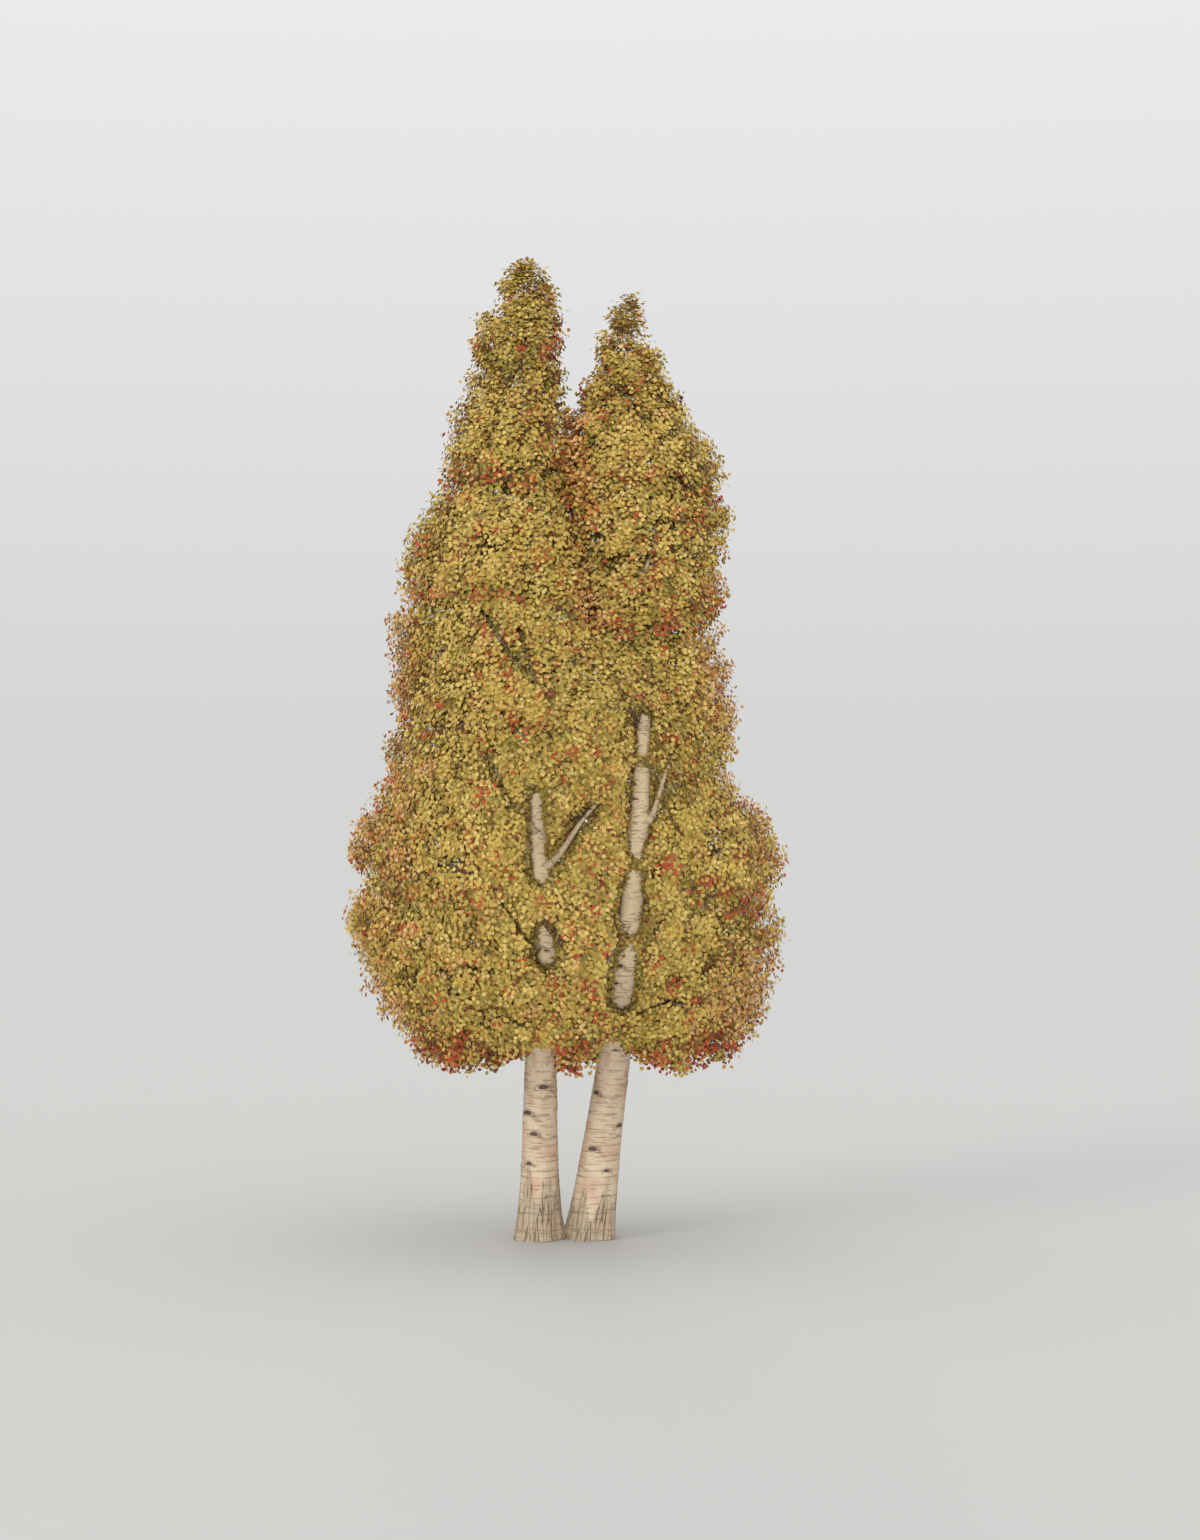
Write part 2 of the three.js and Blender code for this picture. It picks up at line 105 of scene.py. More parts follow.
TIER_KEYS = ("stem", "foot", "rise", "bearings", "out", "half")
TIERS = [dict(zip(TIER_KEYS, row)) for row in (
    ("left", 2.95, .52, (108, 164, 220, 292), .58, 1.3),
    ("left", 4.05, 1.3, (100, 168, 234), .56, 1.5),
    ("left", 5.75, 1.65, (116, 184, 246), .55, 1.6),
    ("left", 7.9, 1.45, (84, 178, 268), .52, 1.55),
    ("left", 9.8, 1.25, (110, 240), .45, 1.35),
    ("right", 2.95, .48, (-48, 6, 64), .58, 1.3),
    ("right", 4.0, 1.3, (-40, 22, 84), .56, 1.5),
    ("right", 5.85, 1.5, (-24, 92), .5, 1.55),
    ("right", 7.9, 1.4, (-66, 48), .5, 1.55),
    ("right", 9.5, 1.25, (-20, 150), .45, 1.25),
)]
CROSSING = dict(zip(TIER_KEYS, ("left", 5.25, 1.25, (-36,), .6, 1.3)))
CROSSING_TIER = 3                      # the tier whose leaves the crossing limb's go with
TOP_TIER = 5
FOOT_STEP = 0.16                       # every second bough of a tier leaves so much higher
TIER_SECTOR = 210                      # degrees round the stem that a tier's masses share
CROSSING_SECTOR = 55
RADIAL_SHARE = 0.68                    # a mass's half-size outwards, of the crown's radius
ACROSS_SHARE = 1.5

BOUGH = {"share": .62, "girth": .42, "tip": .5, "least_foot": .036, "least_tip": .024, "lift": .35}
MASS_GAP = 0.04
LIMB_CLEARANCE = 0.07
MASS_STEM = {"taper": .75, "past": .3}
FAN = {"lift": .25, "spread": 82}
TWIGS = {"count": 9, "fewer": 8, "small_mass": 1.0, "girth": .5, "reach": .9}
TWIG_FEET = {"last": .92, "first": .17}
LEADER_SHARE = 0.6                     # half-height of a leader's mass, of its stem's tip to the top
LEADER_TIP_ROOM = 0.5
UP = np.array([0.0, 0.0, 1.0])
FAR = 9.0                              # metres, further off than anything in the crown
print("tiers of boughs:", len(TIERS) + 1)

# %% [markdown]
# ## Where a stem is, and how thick
# A stem's middle line is a smooth curve through knots at equal steps of height. Blender
# has curve objects for that, but plain arithmetic on whole arrays of heights is quicker
# when thousands of points ask where the stem is. The radius shrinks by a power of the
# height, and near the ground the root flare is added, swollen into five buttresses.

# %% The stems' lines
def unit(vectors):
    """The same directions with a length of one."""
    return vectors / np.maximum(np.linalg.norm(vectors, axis=-1, keepdims=True), 1e-9)


def stem_middle(name, height):
    """Points on a stem's middle line, at one height or at an array of heights."""
    stem = STEMS[name]
    knots = np.column_stack((stem["x"], stem["y"]))
    knots = np.vstack((2 * knots[0] - knots[1], knots, 2 * knots[-1] - knots[-2]))
    height = np.clip(np.asarray(height, float), 0.0, stem["height"])
    place = height / stem["height"] * (len(knots) - 3)
    step = np.minimum(place.astype(int), len(knots) - 4)
    t = (place - step)[..., None]
    a, b, c, d = (knots[step + k] for k in range(4))
    flat = b + 0.5 * t * (c - a + t * (2 * a - 5 * b + 4 * c - d + t * (3 * b - a - 3 * c + d)))
    return np.concatenate((flat, height[..., None]), axis=-1)


def stem_radius(name, height):
    """A stem's mean radius at a height, the root flare included."""
    stem = STEMS[name]
    taper = stem["girth"] * (1 - np.asarray(height) / TAPER_HEIGHT) ** stem["taper"]
    flare = stem["flare"] * np.exp(-np.asarray(height) / FLARE_HEIGHT)
    return np.maximum(taper, BOUGH["least_tip"]) + flare


def buttress(name, height, bearing):
    """How far a buttress swells the flare at a bearing, or a hollow draws it in."""
    stem = STEMS[name]
    wave = np.cos(BUTTRESSES * (bearing - stem["buttress_turn"]))
    return BUTTRESS_SHARE * stem["flare"] * np.exp(-height / FLARE_HEIGHT) * wave


for name in STEMS:
    print(name, "stem is", round(200 * float(stem_radius(name, 1.0))), "cm through at 1 m up")

# %% [markdown]
# ## The crown's outline
# The crown is a round body about each stem, wide low down and drawn in to a point at the
# top. For any point it is useful to know how deep it lies under the crown's surface:
# leaves grow towards the light, so most of them sit in the outer half metre. A test that
# takes an array of points gives that depth for thousands of them in one step.

# %% Depth under the crown's surface
def crown_top(name):
    return CROWN[name][-1][1]


def crown_radius(name, height):
    """The crown's radius about a stem at a height, straight between the rows of its table."""
    radii, heights = zip(*CROWN[name])
    return np.interp(height, heights, radii)


def crown_middle(name, height):
    """The crown's middle: the stem, and above its tip a line that leans by its lead."""
    stem = STEMS[name]
    share = np.clip((np.asarray(height) - stem["height"]) / (crown_top(name) - stem["height"]), 0, 1)
    middle = stem_middle(name, height)
    middle[..., 0] += stem["lead"] * share
    return middle


def crown_depth(points):
    """How far points lie under the crown's surface; less than nothing is outside."""
    depth = np.full(len(points), -FAR)
    for name in STEMS:
        middle = crown_middle(name, points[:, 2])
        off = np.hypot(points[:, 0] - middle[:, 0], points[:, 1] - middle[:, 1])
        side = crown_radius(name, points[:, 2]) - off
        below = points[:, 2] - (SKIRT["height"] - SKIRT["droop"] * off)
        above = crown_top(name) - points[:, 2]
        depth = np.maximum(depth, np.minimum(np.minimum(side, below), above))
    return depth


print("crown tops:", crown_top("left"), crown_top("right"))

# %% [markdown]
# ## Every bough and its mass of foliage
# A bough leaves the stem a little upwards, then bends towards the middle of the foliage
# that it carries. One curve with two handles says this in four points. The plan below
# works out each bough and the space of its mass by the construction's own rule, so that
# the fine twigs made later start exactly where the solid boughs end.

# %% The plan of the limbs
def limb_curve(start, leaving, end, arriving):
    """The four points of a curve that leaves one way and arrives another."""
    handle = np.linalg.norm(end - start) / 3
    return np.array([start, start + leaving * handle, end - arriving * handle, end])


def curve_points(curve, t):
    """Points along a curve, for an array of shares from 0 to 1."""
    t = np.asarray(t, float)[..., None]
    a, b, c, d = curve
    return a * (1 - t) ** 3 + 3 * b * t * (1 - t) ** 2 + 3 * c * t * t * (1 - t) + d * t ** 3


def bearing_direction(degrees):
    return np.array([math.cos(math.radians(degrees)), math.sin(math.radians(degrees)), 0.0])


def planned_mass(name, group, tier, foot, bearing, sector):
    """A bough and its mass: the middle, the half-sizes and the directions they run in."""
    height = foot + tier["rise"]
    outward = bearing_direction(bearing)
    radius = float(crown_radius(tier["stem"], height))
    middle = stem_middle(tier["stem"], height) + outward * tier["out"] * radius
    foot_point = stem_middle(tier["stem"], foot)
    foot_radius = max(float(stem_radius(tier["stem"], foot)) * BOUGH["girth"], BOUGH["least_foot"])
    heading = unit(middle - foot_point)
    tip = foot_point + (middle - foot_point) * BOUGH["share"]
    across = ACROSS_SHARE * math.sin(math.radians(sector / 2)) * radius
    sizes = np.array([RADIAL_SHARE * radius, across, tier["half"]])
    return {
        "name": name, "group": group, "stem": tier["stem"], "middle": middle, "sizes": sizes,
        "axes": np.array([outward, [-outward[1], outward[0], 0], UP]),
        "bough": limb_curve(foot_point, unit(outward + UP * BOUGH["lift"]), tip, heading),
        "foot": foot, "bearing": math.radians(bearing), "foot_radius": foot_radius,
        "tip": tip, "tip_radius": max(foot_radius * BOUGH["tip"], BOUGH["least_tip"]),
        "heading": heading, "stem_end": middle + heading * MASS_STEM["past"] * sizes[0],
        "fan": unit(outward + UP * FAN["lift"]),
        "twigs": TWIGS["fewer"] if min(sizes) < TWIGS["small_mass"] else TWIGS["count"],
    }


def planned_leader(stem_name):
    """The mass that carries on from a stem's tip to the crown's top."""
    stem = STEMS[stem_name]
    top = crown_top(stem_name)
    radius = float(crown_radius(stem_name, stem["height"]))
    middle = crown_middle(stem_name, (stem["height"] + top) / 2)
    middle[2] = (stem["height"] + top) / 2
    end = crown_middle(stem_name, top)
    end[2] = top - LEADER_TIP_ROOM
    return {
        "name": f"{stem_name}_leader", "group": TOP_TIER, "stem": stem_name, "middle": middle,
        "sizes": np.array([radius, radius, (top - stem["height"]) * LEADER_SHARE]), "axes": np.eye(3),
        "tip": stem_middle(stem_name, stem["height"]), "tip_radius": BOUGH["least_tip"],
        "heading": UP, "stem_end": end, "fan": UP, "twigs": TWIGS["fewer"],
    }


def plan_masses():
    planned = []
    counts = {"left": 0, "right": 0}
    tiers_of = {"left": 0, "right": 0}
    for tier in TIERS + [CROSSING]:
        crossing = tier is CROSSING
        tiers_of[tier["stem"]] += 1
        group = CROSSING_TIER if crossing else tiers_of[tier["stem"]]
        sector = CROSSING_SECTOR if crossing else TIER_SECTOR / len(tier["bearings"])
        for i, bearing in enumerate(tier["bearings"]):
            counts[tier["stem"]] += 1
            name = f"{tier['stem']}_{counts[tier['stem']]:02d}"
            foot = tier["foot"] + FOOT_STEP * (i % 2)
            planned.append(planned_mass(name, group, tier, foot, bearing, sector))
    return planned


bough_masses = plan_masses()
masses = bough_masses + [planned_leader("left"), planned_leader("right")]
print("boughs:", len(bough_masses), "masses:", len(masses))

# %% [markdown]
# ## The camera
# The tree is seen from the front, level with the middle of its height, from so far away
# that its lines hardly converge. A long lens from forty metres does that. The size of the
# view at the tree's distance gives the lens by simple proportion, because Blender's
# sensor width is the longer side of an upright picture.

# %% The camera
VIEW_HEIGHT = 22.02                    # metres of height that the picture takes in
VIEW_MIDDLE = (0.872, 6.692)           # x and z at the middle of the picture
CAMERA_DISTANCE = 40.0
SENSOR = 36.0

camera_data = bpy.data.cameras.new("camera")
camera_data.sensor_width = SENSOR
camera_data.lens = SENSOR * CAMERA_DISTANCE / VIEW_HEIGHT
camera_data.clip_end = 2000
camera = bpy.data.objects.new("camera", camera_data)
camera.location = (VIEW_MIDDLE[0], -CAMERA_DISTANCE, VIEW_MIDDLE[1])
camera.rotation_euler = (math.radians(90), 0, 0)
bpy.context.scene.collection.objects.link(camera)
bpy.context.scene.camera = camera
print("lens:", round(camera_data.lens, 1), "mm")

# %% [markdown]
# ## A pale floor under an even sky
# Shadows in a crown of small leaves turn black quickly, so the light should come from
# everywhere. Here a wide pale floor lies under a sky without a sun. The sky is as bright
# at the horizon as the far floor is, so the two melt into each other, and brighter above.
# Three suns are added. A lamp that stands near would leave a pool of light on the floor,
# but a sun lights all of it alike, and a wide one casts soft shadows. The strongest shines
# low from the camera's side, because only such light reaches to the end of a deep opening
# in the crown. A weaker one shines from behind, and a warm one high on the left gives the
# crown its roundness.

# %% Floor, sky and suns
FLOOR = {"radius": 900.0, "sides": 128, "colour": (.65, .65, .635)}
SKY = {"horizon": (.735, .735, .725), "above": (1.0, 1.01, 1.02), "top": .4, "strength": .9}
SUNS = {                               # where it shines from, width in degrees, strength, colour
    "front": ((.5, -60, 8.2), 5, 1.95, (1.0, .955, .89)),
    "back": ((-4, 60, 18), 20, .8, (1.0, .96, .9)),
    "side": ((-26, -20, 22), 24, .56, (1.0, .95, .87)),
}


def link_mesh(name, bm):
    """Turns a finished bmesh into an object at the origin, in the scene."""
    mesh = bpy.data.meshes.new(name)
    bm.to_mesh(mesh)
    bm.free()
    made = bpy.data.objects.new(name, mesh)
    bpy.context.scene.collection.objects.link(made)
    return made


def make_floor():
    bm = bmesh.new()
    bmesh.ops.create_circle(bm, cap_ends=True, segments=FLOOR["sides"], radius=FLOOR["radius"])
    return link_mesh("floor", bm)


def plain_material(name, colour, roughness, specular=0.3):
    """One even colour, set straight on the shader."""
    material = bpy.data.materials.new(name)
    material.use_nodes = True
    shader = material.node_tree.nodes["Principled BSDF"]
    shader.inputs["Base Color"].default_value = (*colour, 1)
    shader.inputs["Roughness"].default_value = roughness
    shader.inputs["Specular IOR Level"].default_value = specular
    return material


floor = make_floor()
floor.data.materials.append(plain_material("floor_paint", FLOOR["colour"], 0.95, 0.0))

for name, (place, width, strength, colour) in SUNS.items():
    sun = bpy.data.lights.new(name, "SUN")
    sun.angle = math.radians(width)
    sun.energy = strength
    sun.color = colour
    holder = bpy.data.objects.new(name, sun)
    holder.location = place
    aim = Vector((VIEW_MIDDLE[0], 0, VIEW_MIDDLE[1])) - Vector(place)
    holder.rotation_euler = aim.to_track_quat("-Z", "Y").to_euler()
    bpy.context.scene.collection.objects.link(holder)

world = bpy.data.worlds.new("sky")
world.use_nodes = True
nodes, links = world.node_tree.nodes, world.node_tree.links
background = nodes["Background"]
background.inputs["Strength"].default_value = SKY["strength"]
direction = nodes.new("ShaderNodeTexCoord")
parts = nodes.new("ShaderNodeSeparateXYZ")
ramp = nodes.new("ShaderNodeValToRGB")
ramp.color_ramp.elements[0].color = (*SKY["horizon"], 1)
ramp.color_ramp.elements[1].position = SKY["top"]
ramp.color_ramp.elements[1].color = (*SKY["above"], 1)
links.new(direction.outputs["Generated"], parts.inputs[0])
links.new(parts.outputs["Z"], ramp.inputs["Fac"])
links.new(ramp.outputs["Color"], background.inputs["Color"])
bpy.context.scene.world = world
bpy.context.scene.view_settings.view_transform = "Standard"
print("suns:", len(SUNS))

# %% [markdown]
# ## Sums on a material's wires
# A bark pattern is made of masks: here dark, there pale, darkest where two meet. In the
# node editor each sum is a node to place and connect. The small class below wraps one
# output socket, so that `1 - mask` or `a * b` adds the Math nodes by itself, and its one
# method `node` adds any other kind: its settings first, then what goes into its sockets.

# %% A wire class
class Wire:
    """An output socket of a node, or a bare node tree to start from."""

    def __init__(self, tree, socket=None):
        self.tree = tree
        self.socket = socket

    def node(self, kind, settings=None, sockets=None, output=0):
        """Adds a node: its settings, then values or wires into its sockets."""
        made = self.tree.nodes.new(kind)
        for name, value in (settings or {}).items():
            setattr(made, name, value)
        for key, value in (sockets or {}).items():
            if isinstance(value, Wire):
                self.tree.links.new(value.socket, made.inputs[key])
            else:
                made.inputs[key].default_value = value
        return Wire(self.tree, made.outputs[output])

    def maths(self, operation, first, second):
        return self.node("ShaderNodeMath", {"operation": operation}, {0: first, 1: second})

    def __add__(self, other):
        return self.maths("ADD", self, other)

    def __sub__(self, other):
        return self.maths("SUBTRACT", self, other)

    def __rsub__(self, other):
        return self.maths("SUBTRACT", other, self)

    def __mul__(self, other):
        return self.maths("MULTIPLY", self, other)

    __radd__ = __add__
    __rmul__ = __mul__


print("wires add, subtract and multiply")

# %% [markdown]
# ## Aspen bark
# The bark of a quaking aspen is smooth and cream, faintly pink and green. Fine dark lines
# lie across it, the lenticels that the stem breathes through, and every lost branch
# leaves a dark eye. On an old stem's foot it turns to rough grey furrows. A picture of
# bark could be wrapped round, but a pattern made of noise has no seam and no end. The
# noise reads the piece's own attribute `bark_place`, which runs round the limb and along
# it, and is stretched so that its blots become lines across. Four more attributes say how
# far off the nearest eye is, where the foot is furrowed, where the bark is young and pale
# with painted light on it, and where the dark brow beside an eye lies. Young bark is paler,
# but its tint here is brighter and warmer still: painted light, standing in for the light
# that the gold leaves throw onto the bark in the shaded openings of the crown.

# %% The bark material
BARK = {
    "cream": (.60, .50, .36), "blush": (.54, .38, .265), "grey": (.32, .265, .185),
    # The young bark's tint is paler than cream, and also brighter and warmer than young bark: painted
    # light reflected from the gold leaves into the shaded openings.
    "young_and_lit": (.98, .81, .54), "line": (.15, .10, .075), "eye": (.075, .05, .042),
    "furrow": (.105, .075, .052),
}


def opaque(colour):
    return (*colour, 1)


def bark_material(name, line_scale):
    """Cream bark with lines across it, dark eyes and a furrowed foot."""
    material = bpy.data.materials.new(name)
    material.use_nodes = True
    tree = material.node_tree
    start = Wire(tree)
    place = start.node("ShaderNodeAttribute", {"attribute_name": "bark_place"}, output="Vector")
    eye, furrow, young_and_lit, brow = (
        start.node("ShaderNodeAttribute", {"attribute_name": stored}, output="Fac")
        for stored in ("eye", "furrow", "young_and_lit", "brow"))

    def noise(stretch, detail, roughness=0.5):
        """Noise on the bark, stretched by x, y and z."""
        scaled = start.node("ShaderNodeVectorMath", {"operation": "MULTIPLY"}, {0: place, 1: stretch})
        return start.node("ShaderNodeTexNoise", None, {
            "Vector": scaled, "Scale": 1.0, "Detail": detail, "Roughness": roughness})

    def step(value, low, high):
        """A mask that rises smoothly from 0 at low to 1 at high."""
        return start.node("ShaderNodeMapRange", {"interpolation_type": "SMOOTHSTEP"}, {
            "Value": value, "From Min": low, "From Max": high})

    def blend(mask, under, over):
        """One colour over another where the mask is 1."""
        sockets = {0: mask, 6: under, 7: over}
        return start.node("ShaderNodeMix", {"data_type": "RGBA"}, sockets, output=2)

    cloudy = noise((4.0, 4.0, 2.6), 3.0)
    mottled = noise((22.0, 22.0, 30.0), 4.0, 0.6)
    long_lines = noise((2.6 * line_scale, 2.6 * line_scale, 40.0 * line_scale), 2.0, 0.6)
    short_lines = noise((13.0 * line_scale, 13.0 * line_scale, 120.0 * line_scale), 1.0)
    patches = noise((2.2, 2.2, 1.6), 2.0)

    lines = step(long_lines + 0.16 * brow, 0.555, 0.62)
    ticks = step(short_lines, 0.63, 0.70) * step(patches, 0.42, 0.56)
    wavy_eye = eye + (mottled - 0.5) * 0.55
    pupil = 1 - step(wavy_eye, 0.75, 1.05)
    lid = step(wavy_eye, 1.15, 1.3) * (1 - step(wavy_eye, 1.4, 1.65))
    wandering = noise((17.0, 17.0, 1.2), 2.0)
    cracks = step(wandering, 0.465, 0.495) - step(wandering, 0.505, 0.535)
    rough_foot = step(furrow + (mottled - 0.5) * 0.5, 0.2, 0.6)

    colour = blend(step(cloudy, 0.42, 0.66), opaque(BARK["cream"]), opaque(BARK["blush"]))
    colour = blend(step(mottled, 0.5, 0.75) * 0.3, colour, opaque(BARK["grey"]))
    # Young bark is paler; this tint is laid on brighter and warmer as painted light, for the light that
    # gold leaves throw into the shaded openings.
    colour = blend(young_and_lit * 0.85, colour, opaque(BARK["young_and_lit"]))
    colour = blend(rough_foot * 0.55, colour, opaque(BARK["grey"]))
    colour = blend(lines * 0.5, colour, opaque(BARK["line"]))
    colour = blend(ticks * 0.6, colour, opaque(BARK["line"]))
    colour = blend(rough_foot * cracks * 0.9, colour, opaque(BARK["furrow"]))
    colour = blend(lid * 0.55, colour, opaque(BARK["line"]))
    colour = blend(pupil * 0.94, colour, opaque(BARK["eye"]))

    relief = mottled * 0.35 - lines * 0.5 - ticks * 0.3 - pupil * 0.6 - rough_foot * cracks
    bump = start.node("ShaderNodeBump", None, {"Strength": 0.6, "Distance": 0.008, "Height": relief})
    shader = tree.nodes["Principled BSDF"]
    shader.inputs["Specular IOR Level"].default_value = 0.25
    tree.links.new(colour.socket, shader.inputs["Base Color"])
    tree.links.new((0.62 + 0.22 * mottled + 0.12 * rough_foot).socket, shader.inputs["Roughness"])
    tree.links.new(bump.socket, shader.inputs["Normal"])
    return material


stem_bark = bark_material("stem_bark", 1.0)
bough_bark = bark_material("bough_bark", 1.6)
print("bark nodes:", len(stem_bark.node_tree.nodes))

# %% [markdown]
# ## A body of rings to be drawn out
# Stems and boughs are the same thing to a modeller: a tapering body with round rings.
# Skinning a curve gives little hold on the surface, so each one starts as a cone from
# bmesh with flat ends, cut into many level rings. Its vertices are then moved, all in one
# step, to where the limb's own rule wants them. Each vertex knows its share of the length
# and its bearing round the middle, and the relief of the bark is a sum of such rules.

# %% Ring bodies and ripples
def ring_body(name, sides, rings):
    """A closed body one metre long, with its share of the length and its bearing."""
    bm = bmesh.new()
    bmesh.ops.create_cone(bm, cap_ends=True, segments=sides, radius1=1, radius2=1, depth=1)
    bmesh.ops.translate(bm, verts=bm.verts, vec=(0, 0, 0.5))
    uprights = [edge for edge in bm.edges if abs(edge.verts[0].co.z - edge.verts[1].co.z) > 0.5]
    bmesh.ops.subdivide_edges(bm, edges=uprights, cuts=rings - 1)
    for face in bm.faces:
        face.smooth = len(face.verts) == 4
    made = link_mesh(name, bm)
    flat = np.empty(3 * len(made.data.vertices), np.float32)
    made.data.vertices.foreach_get("co", flat)
    points = flat.reshape(-1, 3).astype(float)
    return made, np.clip(points[:, 2], 0, 1), np.arctan2(points[:, 1], points[:, 0])


def set_points(made, points):
    made.data.vertices.foreach_set("co", points.astype(np.float32).ravel())
    made.data.update()


def set_attribute(made, name, values):
    """Stores one number, or one vector, on every vertex."""
    kind, field = ("FLOAT", "value") if values.ndim == 1 else ("FLOAT_VECTOR", "vector")
    layer = made.data.attributes.new(name, kind, "POINT")
    layer.data.foreach_set(field, values.astype(np.float32).ravel())


def ripple(seed, bearing, length, waves, across, up):
    """A seeded ripple of about -1 to 1 that closes round a limb: a sum of sine waves."""
    draw = np.random.default_rng(seed)
    total = np.zeros_like(length)
    for _ in range(waves):
        turns = draw.integers(0, across + 1)
        total += np.sin(turns * bearing + draw.normal(0, up) * length + draw.uniform(0, math.tau))
    return total / math.sqrt(waves)


def smooth_step(value, low, high):
    t = np.clip((value - low) / (high - low), 0, 1)
    return t * t * (3 - 2 * t)


def wound_round(bearing, along, girth):
    """Where the bark's pattern is read: on a straight cylinder, so that it never stretches."""
    return np.stack((girth * np.cos(bearing), girth * np.sin(bearing), along), axis=1)


print("a ring body takes sides and rings")

# %% [markdown]
# ## The two stems
# Each stem runs from a flat cut at the ground to a small tip, with its lean and taper.
# On the smooth cylinder of rings the rule adds, one after another: the flare and its
# buttresses, a slight unevenness, fine wrinkles across, deep furrows that fade out above
# the foot, the eyes that lost branches left, each with a sunk middle and a raised rim, and
# a swollen collar under every bough. The same distances are stored for the material, so
# that the paint of an eye always falls on its dent.

# %% Relief of the stems
STEM_SIDES = 112
STEM_RINGS = 340
RING_START = 0.35                      # how much closer the rings lie at the foot
FURROWS = {"count": 9, "depth": .015, "top": 1.3, "ragged": .55, "full": .1, "wander": 2.6}
# Above these heights the stems take the young bark's tint, paler and also brightened as painted light
# where the openings show them.
YOUNG_AND_LIT_BARK = (2.6, 4.2)                # heights between which the bark turns pale
WRINKLE = {"slow": .007, "fine": .0022, "girth": .3}   # a thinner stem's are lower
COLLAR = {"swell": .38, "wide": 1.5, "high": 2, "below": .03}   # in radii of its bough's foot
FLAT_CUT = (-.05, .03)                 # the relief fades out towards the cut, so that it is round
BARK_GIRTH = {"stem": .3, "limb": .12}   # the radius at which the bark's pattern is drawn
EYE_SIZES = (.085, .034)               # half-width and half-height of a usual eye
EYE_ARCH = 0.25
EYE_RIM = {"height": .006, "at": 1.15, "width": .3}   # in half-widths of the eye
EYE_DENT = {"depth": .007, "width": .7}
BROW = {"at": 1.2, "width": 1.6}
NO_EYE = 3.0                           # so many half-widths off, no eye shows

# Eyes that show below the crown: bearing in degrees, height, size.
EYES = {
    "left": [(-78, 2.19, 1.1), (-138, 1.82, 1.1), (-110, 1.52, .9), (-125, 1.1, .75),
             (20, 1.9, 1.1), (70, 1.35, .9), (120, 2.3, 1.2), (165, 1.05, .8), (-20, 2.6, .7)],
    "right": [(-142, 2.09, 1.0), (-34, 1.62, 1.0), (-117, 1.3, 1.0), (-66, .99, .7),
              (-5, 2.2, .9), (45, 1.5, 1.2), (100, 2.0, .9), (150, 1.2, 1.0), (-90, 2.7, .6)],
}
UPPER_EYES = {"count": 46, "from": 2.9, "below_tip": .6, "sizes": (.5, 1.15), "girth": .25}
SCAR = {"rise": 1.9, "width": 1.3, "height": .022}   # over each bough


def wrapped(angle):
    return (angle + math.pi) % math.tau - math.pi


def eyes_of(name, seed):
    """The named eyes, the random ones above, and a scar over each bough."""
    draw = np.random.default_rng(seed)
    eyes = [(math.radians(b), h, s * EYE_SIZES[0], s * EYE_SIZES[1]) for b, h, s in EYES[name]]
    highest = STEMS[name]["height"] - UPPER_EYES["below_tip"]
    for height in draw.uniform(UPPER_EYES["from"], highest, UPPER_EYES["count"]):
        size = draw.uniform(*UPPER_EYES["sizes"]) * float(stem_radius(name, height)) / UPPER_EYES["girth"]
        eyes.append((draw.uniform(-math.pi, math.pi), height, size * EYE_SIZES[0], size * EYE_SIZES[1]))
    for mass in bough_masses:
        if mass["stem"] == name:
            level = mass["foot"] + SCAR["rise"] * mass["foot_radius"]
            eyes.append((mass["bearing"], level, SCAR["width"] * mass["foot_radius"], SCAR["height"]))
    return eyes


